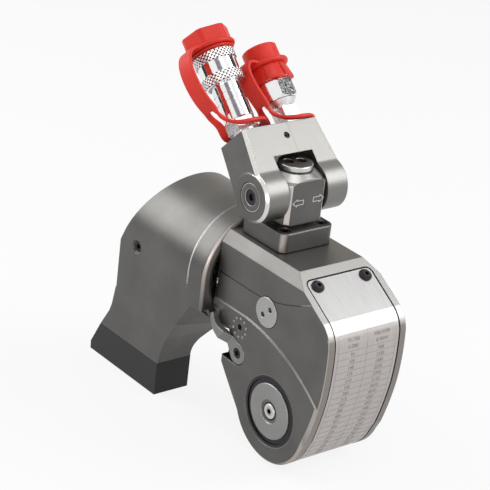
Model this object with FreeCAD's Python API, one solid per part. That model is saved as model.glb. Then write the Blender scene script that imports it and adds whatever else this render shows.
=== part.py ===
import FreeCAD, Part
import math
import os
from FreeCAD import Vector

os.makedirs("parts", exist_ok=True)

# Driving dimensions in millimetres.
# The origin is on the square drive's axis, midway between the two side faces.
# +X points to the front shroud, +Y out of the square drive, +Z up to the hose swivel.

# Head
head_half = 33.3
flat_half = 32.2
plane_half = 26.2
nose_r = 35.5
side_nose_r = 34.0
head_top = 100.2
head_rear = -67.4
crease_x = 4.0
crease_slope = 0.605
bevel_drop = 7.8
relief_step = 0.8
second_step = 0.5
relief_z = 53.0
second_relief_z = 71.3
roof_wall = 10.0
fit_gap = 0.05
loose_gap = 0.3

# Power cylinder and its splined boss
cyl_z = 64.6
bore_r = 18.0
bore_front = -64.5
boss_rear = -126.5
spline_tip_r = 33.0
spline_root_r = 30.8
spline_count = 24
plug_thread_r = 22.0
plug_thread_len = 12.0
plug_flange_r = 26.0
plug_flange_len = 18.0

# Piston and rod
piston_len = 13.0
rod_r = 9.0
rod_eye_r = 10.5
rod_eye_half = 12.0
pin_r = 6.0
pin_half = 19.0

# Ratchet drive
tooth_count = 24
tooth_tip_r = 29.0
tooth_root_r = 26.0
tooth_half = 12.5
hub_r = 22.0
bushing_r = 24.5
cavity_half = 19.5
cavity_r = 31.5
square_size = 25.4
square_len = 28.0
shaft_r = 19.15
lever_angle = 15.0
lever_thick = 5.5
retainer_thick = 5.0
button_r = 5.2
stem_r = 2.8
stem_end = 4.0
retainer_spigot = 1.2
button_travel = 2.0

# Two drive pawls in the levers, one reaction pawl between them, and the release lever
drive_pin_x = -12.0
drive_pin_z = 42.0
drive_pin_r = 3.0
drive_pawl_in = 4.2
drive_pawl_out = 12.1
drive_face = 30.0
drive_lift = 6.5
pawl_x = -38.6
pawl_z = 23.9
pawl_boss_r = 6.0
pawl_half = 3.6
pawl_face = -15.0
release_angle = 8.0
pawl_shaft_r = 3.5
lever_boss_r = 7.5
lever_pocket_depth = 6.5
lever_thickness = 4.0
lever_step_out = 6.0

# Front shroud plate
shroud_thick = 1.5
shroud_half = 26.5
shroud_corner_r = 4.0
shroud_top_x = 10.8
shroud_end_angle = -132.0
shroud_screw_r = 4.4
shroud_screw_x = 15.2
shroud_screw_angle = -122.0
shroud_screw_stem = 3.2

# Access plug of the rod pin, and the index screw in its ring of dots
access_x = -15.1
access_z = 64.5
access_r = 10.2
access_depth = 6.0
index_x = -38.5
index_z = 43.0
index_r = 2.2
dot_count = 10
dot_r = 0.85
dot_ring_r = 6.6

# Swivel
swivel_x = -42.0
base_half = 21.6
base_height = 13.5
base_corner_r = 5.5
base_screw_pitch = 30.0
base_screw_head_r = 3.6
post_half = 15.5
post_turned_r = 20.4
post_gap = 2.2
post_shoulder_h = 31.3
post_crown_h = 35.7
post_journal_r = 11.0
cap_r = 11.5
cap_height = 4.3
cap_hole_r = 3.6
pivot_h = 20.0
yoke_tilt = 46.0
ear_half = 34.5
yoke_top_half = ear_half - 3.8
ear_r = 17.0
yoke_front = 14.5
yoke_rear = 15.4
yoke_top = 40.6
yoke_bevel = 1.9
set_screw_v = 31.8
slot_half = 16.0
slot_r = 23.9
pivot_plug_r = 9.5
pivot_screw_r = 4.0

# Couplers, standing on the yoke
coupler_half_pitch = ear_half * 0.545
female_adapter_h = 10.8
female_body_r = 10.0
female_body_top = 36.7
sleeve_r = 13.6
knurl_r = 14.0
knurl_len = 6.5
sleeve_len = 22.2
female_cap_len = 14.7
female_cap_r = 15.1
male_nut_across = 22.0
male_nut_low = 18.9
male_nut_high = 32.0
male_cap_low = 32.4
male_cap_mid = 46.5
male_cap_top = 57.9
male_cap_r = 11.7
male_rim_r = 14.0
male_nose_r = 9.0

# Dust cap straps
strap_width = 9.0
strap_thick = 2.2
strap_ring_width = 3.0
eyelet_r = 14.5
strap_azimuth = 229.0

# Reaction arm
arm_r = 43.7
arm_front = -67.9
arm_back = -160.5
arm_spline_rear = -127.5
rim_len = 16.2
rim_round = 2.5
leg_far = -15.1
leg_shelf_z = 43.2
leg_round = 1.2
pad_top = -13.8
pad_bottom = -38.0
pad_front = -106.8
pad_rear_top = -174.5
pad_rear_low = -184.5
back_slope_x = 24.0
back_slope_z = 51.0
back_slope_low = 57.2
arm_screw_x = -141.4
arm_screw_z = 59.2
arm_screw_r = 4.0

# Sizes worked out from the ones above
retainer_seat = -head_half - 0.2 + retainer_thick
cyl_axis = Vector(0, 0, cyl_z)
pin_x = -cyl_z * math.tan(math.radians(lever_angle))
base_top = head_top + base_height
pivot_z = base_top + pivot_h
post_low = base_top + post_gap
gland_r = rod_r + 4.0
gland_rear = bore_front
gland_front = bore_front + 14.0
tooth_pitch = 360.0 / tooth_count
bevel_z = head_top - bevel_drop
bevel_x = crease_x + bevel_drop / crease_slope
roof_z = head_top - roof_wall
slope_angle = math.atan(crease_slope)


def box(x0, x1, y0, y1, z0, z1):
    return Part.makeBox(x1 - x0, y1 - y0, z1 - z0, Vector(x0, y0, z0))


def rod_x(radius, x0, x1, y=0.0, z=cyl_z):
    return Part.makeCylinder(radius, x1 - x0, Vector(x0, y, z), Vector(1, 0, 0))


def rod_y(radius, y0, y1, x=0.0, z=0.0):
    return Part.makeCylinder(radius, y1 - y0, Vector(x, y0, z), Vector(0, 1, 0))


def rod_z(radius, z0, z1, x=0.0, y=0.0):
    return Part.makeCylinder(radius, z1 - z0, Vector(x, y, z0), Vector(0, 0, 1))


def side_wire(points, y):
    """Closed wire on the plane y from (x, z) points; a third value marks an arc through point."""
    edges = []
    count = len(points)
    for i, point in enumerate(points):
        start = Vector(point[0], y, point[1])
        after = points[(i + 1) % count]
        end = Vector(after[0], y, after[1])
        if len(point) == 4:
            via = Vector(point[2], y, point[3])
            edges.append(Part.Arc(start, via, end).toShape())
        else:
            edges.append(Part.LineSegment(start, end).toShape())
    return Part.Wire(edges)


def side_slab(points, y0, y1):
    face = Part.Face(side_wire(points, y0))
    return face.extrude(Vector(0, y1 - y0, 0))


def on_circle(radius, degrees):
    turn = math.radians(degrees)
    return radius * math.cos(turn), radius * math.sin(turn)


def hexagon(across_flats, height, base, start=0.0):
    """Upright hexagonal prism on the point base."""
    corner = across_flats / math.sqrt(3.0)
    ring = []
    for i in range(7):
        x, y = on_circle(corner, start + 60.0 * i)
        ring.append(base + Vector(x, y, 0))
    return Part.Face(Part.makePolygon(ring)).extrude(Vector(0, 0, height))


def round_edges(shape, radius, chosen):
    edges = [edge for edge in shape.Edges if chosen(edge)]
    return shape.makeFillet(radius, edges)


def on_plane_x(edge, x):
    return abs(edge.BoundBox.XMax - x) < 0.01 and edge.BoundBox.XLength < 0.01


def on_plane_y(edge, y):
    return abs(edge.BoundBox.YMin - y) < 0.01 and edge.BoundBox.YLength < 0.01


def turned(profile, axis_x=0.0, axis_y=0.0):
    """Solid of revolution about a vertical axis from (radius, height) points."""
    ring = [Vector(axis_x + r, axis_y, z) for r, z in profile]
    face = Part.Face(Part.makePolygon(ring + [ring[0]]))
    return face.revolve(Vector(axis_x, axis_y, 0), Vector(0, 0, 1), 360)


def save(name, solids):
    shape = solids if isinstance(solids, Part.Shape) else Part.makeCompound(solids)
    if shape.ShapeType == "Compound" and len(shape.Solids) == 1:
        shape = shape.Solids[0]
    shape.exportStep("parts/" + name + ".step")


# Head outline, seen from the side


def front_edge():
    """The edge from the crease in the top down the front and round the nose to the bottom."""
    return [
        (crease_x, head_top),
        (37.5, slope_z(37.5), 43.3, head_top - 26.4),
        (46.1, head_top - 34.2, 46.7, 50.0),
        (45.4, 30.0, 42.2, 13.5),
        (37.0, -5.0),
        on_circle(nose_r, -20) + on_circle(nose_r, -55),
        (0.0, -nose_r) + on_circle(nose_r, 237),
        on_circle(nose_r, 205) + (-41.5, -4.2),
    ]


def slope_z(x):
    """Height of the sloped plane at the front of the top."""
    return head_top - crease_slope * (x - crease_x)


def head_outline():
    """The outer edge of the head seen from the side."""
    rear = [
        (-54.0, 11.0),
        (-54.0, 17.0),
        (-53.0, 27.0),
        (-61.0, 41.0),
        (head_rear, 45.0),
    ]
    return [(head_rear, head_top)] + front_edge() + rear


def bevelled_outline():
    """The same edge where the top bevels have come down to the sides."""
    points = head_outline()
    points[0] = (head_rear, bevel_z)
    points[1] = (bevel_x, bevel_z)
    return points


def side_outline():
    """The edge of the flat side face, inside the narrow chamfer."""
    return [
        (head_rear, bevel_z - 1.4),
        (10.0, bevel_z - 1.4),
        (34.5, head_top - 20.6, 40.6, head_top - 25.8),
        (44.0, head_top - 34.2, 44.3, 52.0),
        (43.8, 39.0, 40.4, 17.5),
        (34.4, -2.0),
        (31.6, -10.4) + on_circle(side_nose_r, -52),
        (0.0, -side_nose_r) + on_circle(side_nose_r, 237),
        on_circle(side_nose_r, 205) + (-39.2, -2.6),
        (-52.0, 11.4),
        (-52.0, 17.0),
        (-51.0, 27.0),
        (-59.5, 41.0),
        (head_rear, 45.0),
    ]


def head_block():
    block = side_slab(head_outline(), -flat_half, flat_half)
    drop = bevel_drop / (flat_half - plane_half)
    for side in (-1, 1):
        wedge = front_slab([
            (side * (plane_half - 1.0), head_top + drop),
            (side * (flat_half + 1.0), head_top + drop),
            (side * (flat_half + 1.0), bevel_z - drop)], head_rear - 1.0, nose_r * 2)
        block = block.cut(wedge)
    for side in (-1, 1):
        outer = side_wire(bevelled_outline(), side * flat_half)
        inner = side_wire(side_outline(), side * head_half)
        block = block.fuse(Part.makeLoft([outer, inner], True, True))
    return block.removeSplitter()


def relief_edge(out):
    """Lower edge of the shallow relief, drawn out by the width of its ledge."""
    return [
        (head_rear - 1.0, relief_z - out),
        (-35.0, relief_z - out, 8.0 - 0.35 * out, 43.5 - 0.94 * out),
        (42.0 - 0.54 * out, 23.6 - 0.84 * out),
        (60.0 - 0.54 * out, 12.0 - 0.84 * out),
        (60.0, head_top + 1.0),
        (head_rear - 1.0, head_top + 1.0),
    ]


def relief_cut(side):
    """Shallow step over the upper side face with a sloped ledge, and a second one above it."""
    margin = 0.5
    outer = side_wire(relief_edge(relief_step + margin), side * (head_half + margin))
    inner = side_wire(relief_edge(0.0), side * (head_half - relief_step))
    step = Part.makeLoft([outer, inner], True, True)
    upper = [
        (head_rear - 1.0, second_relief_z),
        (-33.7, second_relief_z + 0.6, -8.5, second_relief_z + 3.5),
        (17.6, second_relief_z + 12.5),
        (60.0, second_relief_z + 32.0),
        (head_rear - 1.0, second_relief_z + 32.0),
    ]
    low, high = sorted((side * (head_half - relief_step - second_step), side * (head_half + 1.0)))
    return step.fuse(side_slab(upper, low, high))


def splined_round(radius_tip, radius_root, x0, x1):
    """Straight-sided splines about the cylinder's axis."""
    body = rod_x(radius_root, x0, x1)
    width = math.pi * radius_tip / spline_count
    teeth = []
    for i in range(spline_count):
        tooth = box(x0, x1, -width / 2, width / 2, cyl_z + radius_root - 1.5, cyl_z + radius_tip)
        tooth.rotate(cyl_axis, Vector(1, 0, 0), 360.0 * i / spline_count)
        teeth.append(tooth)
    return body.fuse(teeth).removeSplitter()


def cavity():
    """Room for the ratchet, the levers and the rod eye, open at the front under the shroud."""
    points = [
        (gland_front, cyl_z - 14.6),
        (gland_front, cyl_z + gland_r + 4.0),
        (-38.0, roof_z),
        (crease_x + 0.5, roof_z),
        (33.0, roof_z - 17.2),
        (41.0, 64.0),
        (41.0, 40.0),
        (38.0, 18.0),
        (31.0, -1.0),
        (20.0, 0.0),
        (-30.0, 10.0),
        (pawl_x, pawl_z - pawl_boss_r - 0.6, pawl_x - pawl_boss_r - 0.6, pawl_z),
        (pawl_x, pawl_z + pawl_boss_r + 0.6),
    ]
    room = side_slab(points, -cavity_half, cavity_half)
    room = room.fuse(rod_y(cavity_r, -cavity_half, cavity_half))
    window = box(30.0, 60.0, -cavity_half, cavity_half, 2.0, 69.0)
    return room.fuse(window)


def shroud_skin(outside, inside, half):
    """The stretch of the head's front skin between two offsets, cut to the shroud's length."""
    core = Part.Face(side_wire(front_edge()[:-1] + [on_circle(nose_r, 205)], -half))
    rim = core.makeOffset2D(outside, 2).cut(core.makeOffset2D(inside, 2))
    skin = rim.Faces[0].extrude(Vector(0, 2 * half, 0))
    grow = half - shroud_half
    run = (math.cos(slope_angle), math.sin(slope_angle))
    top = (shroud_top_x - grow * run[0], slope_z(shroud_top_x - grow * run[0]))
    end_angle = shroud_end_angle - math.degrees(grow / nose_r)
    keep = [
        (top[0] - 12.0 * run[1], top[1] - 12.0 * run[0]),
        (top[0] + 30.0 * run[1], top[1] + 30.0 * run[0]),
        (120.0, top[1] + 30.0 * run[0]),
        (120.0, -70.0),
        on_circle(2.5 * nose_r, end_angle),
        on_circle(0.7 * nose_r, end_angle),
    ]
    skin = skin.common(side_slab(keep, -half - 1, half + 1))
    corners = [e for e in skin.Edges if e.Length < 3.5 and e.BoundBox.YLength < 0.01]
    corners = [e for e in corners if e.BoundBox.XMax < shroud_top_x + 3.0]
    return skin.makeFillet(shroud_corner_r, corners)


def release_pocket():
    """Pocket in the near side that takes the release lever and opens to the rear."""
    reach = lever_boss_r + 0.7
    y1 = -head_half + lever_pocket_depth
    pocket = rod_y(reach, -head_half - 1, y1, pawl_x, pawl_z)
    slope = side_slab(
        [(-70.0, 17.0), (-40.5, 15.9), (pawl_x + 3.4, pawl_z + 7.5), (-70.0, 46.5)], -head_half - 1, y1
    )
    return pocket.fuse(slope)


def make_housing():
    body = head_block()
    for side in (-1, 1):
        body = body.cut(relief_cut(side))
    body = body.fuse(splined_round(spline_tip_r, spline_root_r, boss_rear, head_rear + 1))
    body = body.cut(cavity())
    body = body.cut(rod_x(bore_r, boss_rear - 1, bore_front))
    body = body.cut(rod_x(plug_thread_r, boss_rear - 1, boss_rear + plug_thread_len))
    body = body.cut(rod_x(gland_r, gland_rear - 1, gland_front + 1))
    body = body.cut(rod_y(bushing_r, -head_half - 1, head_half + 1))
    body = body.cut(shroud_skin(1.0, -shroud_thick, shroud_half + 0.2))
    body = body.cut(release_pocket())
    body = body.cut(rod_y(pawl_shaft_r + fit_gap, -head_half, cavity_half + 6, pawl_x, pawl_z))
    access_floor = -head_half + relief_step + access_depth
    body = body.cut(rod_y(access_r + fit_gap, -head_half - 1, access_floor, access_x, access_z))
    body = body.cut(rod_y(pin_r + 1.5, -head_half, -cavity_half + 1, pin_x, cyl_z))
    body = body.cut(rod_y(index_r, -head_half - 1, -head_half + 7.0, index_x, index_z))
    body = body.cut(index_dots())
    for place in base_screw_places():
        body = body.cut(rod_z(2.5, head_top - 9.0, head_top + 1, place[0], place[1]))
    for hole in shroud_screw_holes(1.6, shroud_screw_stem + 0.4):
        body = body.cut(hole)
    save("housing", body)


def index_dots():
    dots = []
    for i in range(dot_count):
        dx, dz = on_circle(dot_ring_r, 360.0 * i / dot_count + 18.0)
        dots.append(rod_y(dot_r, -head_half - 1, -head_half + 0.5, index_x + dx, index_z + dz))
    return Part.makeCompound(dots)


def make_index_screw():
    screw = rod_y(index_r - fit_gap, -head_half + 1.2, -head_half + 7.0, index_x, index_z)
    save("index_screw", screw.cut(rod_y(1.0, -head_half, -head_half + 3.0, index_x, index_z)))


# Front shroud


def shroud_screw_frames():
    """Place and outward direction of the four screws: two on the top slope, two under the nose."""
    up = Vector(math.sin(slope_angle), 0, math.cos(slope_angle))
    under_x, under_z = on_circle(nose_r, shroud_screw_angle)
    down = Vector(under_x, 0, under_z).normalize()
    frames = []
    for side in (-1, 1):
        y = side * (shroud_half - 6.6)
        frames.append((Vector(shroud_screw_x, y, slope_z(shroud_screw_x)), up))
        frames.append((Vector(under_x, y, under_z), down))
    return frames


def shroud_screw_holes(radius, depth):
    holes = []
    for place, out in shroud_screw_frames():
        holes.append(Part.makeCylinder(radius, depth + 2, place + out * 2, out * -1))
    return holes


def make_shroud():
    plate = shroud_skin(-0.2, -shroud_thick + fit_gap, shroud_half)
    for hole in shroud_screw_holes(1.9, 3.0):
        plate = plate.cut(hole)
    save("front_shroud", plate)


def make_shroud_screws():
    screws = []
    for place, out in shroud_screw_frames():
        seat = place + out * -0.15
        head = Part.makeCylinder(shroud_screw_r, 0.9, seat, out)
        crown = Part.makeCone(shroud_screw_r, shroud_screw_r * 0.6, 1.5, seat + out * 0.9, out)
        stem = Part.makeCylinder(1.5, shroud_screw_stem, seat, out * -1)
        screw = head.fuse([crown, stem])
        socket = Part.makeCylinder(1.4, 1.6, seat + out * 1.0, out)
        screws.append(screw.cut(socket))
    save("shroud_screws", screws)


# Rod pin access and cylinder end


def make_access_plug():
    face = -head_half + relief_step
    plug = rod_y(access_r, face - 0.4, face + access_depth - fit_gap, access_x, access_z)
    for sign in (-1, 1):
        plug = plug.cut(rod_y(1.9, face - 1, face + 3.0, access_x + sign * 3.2, access_z + sign * 2.8))
    save("access_plug", plug)


def make_end_plug():
    front = boss_rear + plug_thread_len
    rear = boss_rear - plug_flange_len
    plug = rod_x(plug_thread_r - fit_gap, boss_rear - 1.0, front - 0.2)
    groove = rod_x(plug_thread_r, front - 6.0, front - 3.5)
    groove = groove.cut(rod_x(plug_thread_r - 2.0, front - 7.0, front - 2.0))
    plug = plug.cut(groove)
    plug = plug.fuse(rod_x(plug_flange_r, rear, boss_rear - 0.1))
    for sign in (-1, 1):
        plug = plug.cut(rod_x(3.0, rear - 1, rear + 7, sign * 13.0))
    plug = round_edges(plug, 1.5, lambda e: on_plane_x(e, rear) and e.BoundBox.YLength > 40)
    save("cylinder_end_plug", plug)
    ring = rod_x(plug_thread_r - 0.05, front - 5.9, front - 3.6)
    save("end_plug_seal", ring.cut(rod_x(plug_thread_r - 1.95, front - 7.0, front - 2.0)))


def make_rod_gland():
    gland = rod_x(gland_r - fit_gap, gland_rear, gland_front)
    gland = gland.cut(rod_x(rod_r + 0.05, gland_rear - 1, gland_front + 1))
    seat = rod_x(rod_r + 2.0, gland_rear + 4.0, gland_rear + 7.0)
    save("rod_gland", gland.cut(seat))
    seal = rod_x(rod_r + 1.95, gland_rear + 4.05, gland_rear + 6.95)
    save("rod_seal", seal.cut(rod_x(rod_r + 0.05, gland_rear, gland_rear + 9)))


# Piston, rod and pin


def make_piston():
    rear = boss_rear + plug_thread_len + 1.0
    front = rear + piston_len
    piston = rod_x(bore_r - 0.05, rear, front)
    groove = rod_x(bore_r, rear + 5.0, rear + 8.5).cut(rod_x(bore_r - 2.5, rear + 4, rear + 9))
    piston = piston.cut(groove).cut(rod_x(5.0, rear - 1, front + 1))
    save("piston", piston)
    seal = rod_x(bore_r - 0.05, rear + 5.1, rear + 8.4).cut(rod_x(bore_r - 2.45, rear + 4, rear + 9))
    save("piston_seal", seal)
    rod = rod_x(rod_r, front, pin_x - rod_eye_r + 2)
    stud = rod_x(5.0 - fit_gap, rear + 0.5, front + 1)
    eye = rod_y(rod_eye_r, -rod_eye_half, rod_eye_half, pin_x, cyl_z)
    rod = rod.fuse([stud, eye])
    rod = rod.cut(rod_y(pin_r + fit_gap, -rod_eye_half - 1, rod_eye_half + 1, pin_x, cyl_z))
    save("piston_rod", rod)
    save("rod_pin", rod_y(pin_r, -pin_half, pin_half, pin_x, cyl_z))


# Ratchet wheel, square drive and retainer


def saw_profile(tip, root, turn):
    """Saw teeth about the drive axis, with the radial faces turned by the angle turn."""
    ring = []
    for i in range(tooth_count):
        angle = math.radians(tooth_pitch * i + turn)
        after = math.radians(tooth_pitch * (i + 1) + turn)
        ring.append((tip * math.sin(angle), tip * math.cos(angle)))
        ring.append((root * math.sin(after), root * math.cos(after)))
    return ring


def make_ratchet():
    wheel = side_slab(saw_profile(tooth_tip_r, tooth_root_r, 0.0), -tooth_half, tooth_half)
    hub = rod_y(hub_r, -head_half + 0.9, head_half - 0.3)
    wheel = wheel.fuse(hub)
    flats = side_slab(octagon(16.0), -head_half, head_half - 8.0)
    wheel = wheel.cut(flats)
    wheel = wheel.cut(rod_y(shaft_r + fit_gap, -head_half, retainer_seat))
    wheel = wheel.cut(rod_y(shaft_r + fit_gap, head_half - 8.0, head_half))
    save("ratchet_wheel", wheel)


def octagon(apothem):
    corner = apothem / math.cos(math.radians(22.5))
    return [on_circle(corner, 22.5 + 45.0 * i) for i in range(8)]


def make_square_drive():
    inner = retainer_seat + retainer_spigot
    spindle = side_slab(octagon(16.0 - fit_gap), inner, head_half - 7.0)
    collar = rod_y(shaft_r, head_half - 8.0, head_half + 1.5)
    half = square_size / 2
    square = box(-half, half, head_half, head_half + square_len, -half, half)
    tip = Vector(0, head_half + square_len - 4.0, 0)
    cone = Part.makeCone(half * 1.34, half * 1.1, 4.0, tip, Vector(0, 1, 0))
    barrel = rod_y(half * 1.34, head_half - 1, head_half + square_len - 4.0)
    square = square.common(barrel.fuse(cone))
    drive = spindle.fuse([collar, square])
    drive = drive.cut(rod_y(stem_r + 0.2, inner - 1, stem_end + button_travel + 1.0))
    ball_y = head_half + square_len * 0.5
    drive = drive.cut(Part.makeSphere(3.25, Vector(0, ball_y, half - 1.6)))
    save("square_drive", drive)
    save("detent_ball", Part.makeSphere(3.2, Vector(0, ball_y, half - 1.6)))


def make_retainer():
    front = retainer_seat - retainer_thick
    disc = rod_y(shaft_r - 0.1, front, retainer_seat)
    disc = round_edges(disc, 0.8, lambda e: on_plane_y(e, front))
    disc = disc.fuse(rod_y(shaft_r - 4.0, retainer_seat, retainer_seat + retainer_spigot))
    disc = disc.cut(rod_y(button_r + 3.0, front - 1, front + 0.8))
    disc = disc.cut(rod_y(button_r + 0.1, front - 1, retainer_seat - 0.2))
    disc = disc.cut(rod_y(stem_r + 0.2, front, retainer_seat + 2))
    save("drive_retainer", disc)
    face = front + 0.3
    floor = retainer_seat - 0.2
    spring_h = 0.5
    button = rod_y(button_r, face, floor - spring_h - button_travel)
    button = round_edges(button, 0.7, lambda e: on_plane_y(e, face))
    button = button.cut(rod_y(1.5, face - 1, face + 1.2))
    button = button.fuse(rod_y(stem_r, face + 1.5, stem_end))
    save("release_button", button)
    ring = rod_y(button_r - 0.2, floor - spring_h, floor)
    save("button_spring", ring.cut(rod_y(stem_r + 0.25, floor - 2, floor + 1)))


def make_bushings():
    for name, low, high in (
        ("bushing_near", -head_half + 0.3, -cavity_half),
        ("bushing_far", cavity_half, head_half + 0.05),
    ):
        ring = rod_y(bushing_r - 0.04, low, high).cut(rod_y(hub_r + 0.05, low - 1, high + 1))
        save(name, ring)


# Drive levers and drive pawl, leaning back with the piston drawn in


def lever_turn(shape):
    shape.rotate(Vector(0, 0, 0), Vector(0, 1, 0), -lever_angle)
    return shape


def make_levers():
    plates = []
    ring_r = 28.6
    inner = tooth_half + 0.4
    for side in (-1, 1):
        y0 = side * inner if side > 0 else side * (inner + lever_thick)
        y1 = y0 + lever_thick
        ring = rod_y(ring_r, y0, y1)
        top = cyl_z + 10.0
        arm = side_slab([(-ring_r + 0.2, 0.0), (-13.0, top), (13.0, top), (ring_r - 0.2, 0.0)], y0, y1)
        plate = ring.fuse([arm, rod_y(7.5, y0, y1, drive_pin_x, drive_pin_z)])
        plate = plate.cut(rod_y(hub_r + 0.08, y0 - 1, y1 + 1))
        slot = box(-pin_r - loose_gap, pin_r + loose_gap, y0 - 1, y1 + 1, cyl_z - 1.0, cyl_z + 12.0)
        slot = slot.fuse(rod_y(pin_r + loose_gap, y0 - 1, y1 + 1, 0.0, cyl_z - 0.5))
        plate = plate.cut(slot)
        plate = plate.cut(rod_y(drive_pin_r, y0 - 1, y1 + 1, drive_pin_x, drive_pin_z))
        plates.append(lever_turn(plate))
    save("drive_levers", plates)
    reach = inner + lever_thick
    save("drive_pawl_pin", lever_turn(rod_y(drive_pin_r - 0.02, -reach, reach, drive_pin_x, drive_pin_z)))


def at_tooth(radius, degrees):
    """Point at a radius about the drive axis, the angle counted from +Z towards +X."""
    turn = math.radians(degrees)
    return radius * math.sin(turn), radius * math.cos(turn)


def pawl_nose(face, back_off):
    """Lower edge of a pawl: clear of the tooth tips, then down to the nose behind a radial face."""
    return [
        at_tooth(tooth_tip_r + 4.5, face - back_off),
        at_tooth(tooth_root_r + 0.6, face - back_off),
        at_tooth(tooth_root_r + 0.8, face - back_off - 2.0),
        at_tooth(tooth_tip_r + 0.8, face - 13.0),
    ]


def make_drive_pawls():
    """Two shoes on the lever pin, held just above the wheel until they drop into mesh."""
    shoes = []
    for side in (-1, 1):
        low, high = sorted((side * drive_pawl_in, side * drive_pawl_out))
        outline = pawl_nose(drive_face, 1.0) + [
            at_tooth(tooth_tip_r + 1.6, drive_face - 32.0), (drive_pin_x - 4.0, drive_pin_z - 4.6),
            (drive_pin_x + 1.5, drive_pin_z + 6.2), (6.0, 41.0)]
        shoe = side_slab(outline, low, high).fuse(rod_y(6.4, low, high, drive_pin_x, drive_pin_z))
        shoe = shoe.cut(rod_y(drive_pin_r + 0.04, low - 1, high + 1, drive_pin_x, drive_pin_z))
        shoe.rotate(Vector(drive_pin_x, 0, drive_pin_z), Vector(0, 1, 0), -drive_lift)
        shoes.append(lever_turn(shoe))
    save("drive_pawls", shoes)


def make_reaction_pawl():
    """Strut between the drive pawls that holds the wheel from turning back, and its shaft."""
    outline = pawl_nose(pawl_face, 1.6) + [
        at_tooth(tooth_tip_r + 0.8, pawl_face - 38.0), (pawl_x + 2.0, pawl_z - 5.4),
        (pawl_x, pawl_z + pawl_boss_r), (-20.0, 29.6)]
    strut = side_slab(outline, -pawl_half, pawl_half)
    strut = strut.fuse(rod_y(pawl_boss_r, -pawl_half, pawl_half, pawl_x, pawl_z))
    collar = rod_y(pawl_boss_r - 1.0, -cavity_half + 0.5, cavity_half - 0.5, pawl_x, pawl_z)
    strut = strut.fuse(collar).cut(rod_y(pawl_shaft_r, -cavity_half, cavity_half, pawl_x, pawl_z))
    save("reaction_pawl", strut)
    low = -head_half + lever_pocket_depth - 0.4 - 3.2
    save("pawl_shaft", rod_y(pawl_shaft_r, low, cavity_half + 5.5, pawl_x, pawl_z))


def make_release_lever():
    """Bent finger lever: a round boss in the pocket and an arm stepped out past the side face."""
    boss_out = -head_half + 0.4
    boss_in = -head_half + lever_pocket_depth - 0.4
    arm_in = boss_out + lever_thickness
    boss = rod_y(lever_boss_r, boss_out, boss_in, pawl_x, pawl_z)
    root = side_slab([(-38.0, 31.3), (-44.5, 33.6), (-49.0, 26.5), (-45.3, 20.9)], boss_out, arm_in)
    out = boss_out - lever_step_out
    inner_end = [(-44.2, 33.6), (-48.9, 26.6)]
    outer_end = [(-47.5, 37.0), (-52.6, 30.2)]
    rings = []
    for ends, near in ((inner_end, boss_out), (outer_end, out)):
        far = near + lever_thickness
        (ax, az), (bx, bz) = ends
        rings.append(Part.makePolygon([
            Vector(ax, near, az), Vector(ax, far, az), Vector(bx, far, bz), Vector(bx, near, bz),
            Vector(ax, near, az)]))
    ramp = Part.makeLoft(rings, True, True)
    finger = side_slab([
        (-47.3, 37.0), (-47.9, 37.6, -54.5, 38.4), (-59.8, 44.6, -61.6, 44.9), (-62.2, 43.0, -60.4, 36.8),
        (-57.2, 33.0), (-52.4, 30.0)], out, out + lever_thickness)
    lever = boss.fuse([root, ramp, finger]).removeSplitter()
    lever = lever.cut(rod_y(pawl_shaft_r + 0.02, boss_in - 3.3, boss_in + 1, pawl_x, pawl_z))
    lever = lever.cut(rod_y(3.8, boss_out - 1, boss_out + 2.0, pawl_x, pawl_z))
    save("release_lever", lever)
    screw = rod_y(3.7, boss_out + 0.2, boss_out + 1.95, pawl_x, pawl_z)
    corners = [on_circle(1.9, 60.0 * i) for i in range(6)]
    hole = side_slab([(pawl_x + dx, pawl_z + dz) for dx, dz in corners], boss_out - 1, boss_out + 1.4)
    save("lever_screw", screw.cut(hole))


# Reaction arm


def back_cut():
    """Everything behind the arm's back face, which leans forward above the set screw."""
    slope = back_slope_x / back_slope_z
    top = cyl_z + 2 * arm_r
    far = arm_back - 2 * arm_r
    low = cyl_z - arm_r
    return side_slab([
        (arm_back, back_slope_low), (arm_back + slope * (top - back_slope_low), top),
        (far, top), (far, low), (arm_back, low)], -2 * arm_r, 2 * arm_r)


def leg_side():
    """The leg seen from the side: flared back edge and scooped front edge."""
    return [
        (arm_back, cyl_z),
        (-79.2, cyl_z),
        (-79.2, leg_shelf_z),
        (-80.2, 40.5, -91.9, 22.5),
        (-100.8, 7.0, -104.8, -4.5),
        (pad_front, pad_top),
        (pad_rear_top, pad_top),
        (pad_rear_top + 8.5, pad_top + 14.0),
        (arm_back - 3.3, pad_top + 20.0),
        (arm_back, pad_top + 38.0),
    ]


def leg_front():
    """The leg seen from the front: flat near side, far side swept in to the narrow foot."""
    return [
        (-arm_r, cyl_z), (arm_r, cyl_z), (arm_r * 0.93, cyl_z - arm_r * 0.37, 14.0, cyl_z - 44.4),
        (leg_far + 6.0, pad_top + 15.0, leg_far + 1.0, pad_top + 9.0),
        (leg_far, pad_top), (-arm_r, pad_top)]


def front_slab(points, x0, x1):
    """Closed (y, z) outline drawn out along X."""
    edges = []
    for i, point in enumerate(points):
        start = Vector(x0, point[0], point[1])
        after = points[(i + 1) % len(points)]
        end = Vector(x0, after[0], after[1])
        if len(point) == 4:
            edges.append(Part.Arc(start, Vector(x0, point[2], point[3]), end).toShape())
        else:
            edges.append(Part.LineSegment(start, end).toShape())
    return Part.Face(Part.Wire(edges)).extrude(Vector(x1 - x0, 0, 0))


def tetrahedron(corners):
    faces = []
    for left_out in range(4):
        ring = [corners[i] for i in range(4) if i != left_out]
        faces.append(Part.Face(Part.makePolygon(ring + ring[:1])))
    solid = Part.Solid(Part.Shell(faces))
    return solid if solid.Volume > 0 else solid.reversed()


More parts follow.
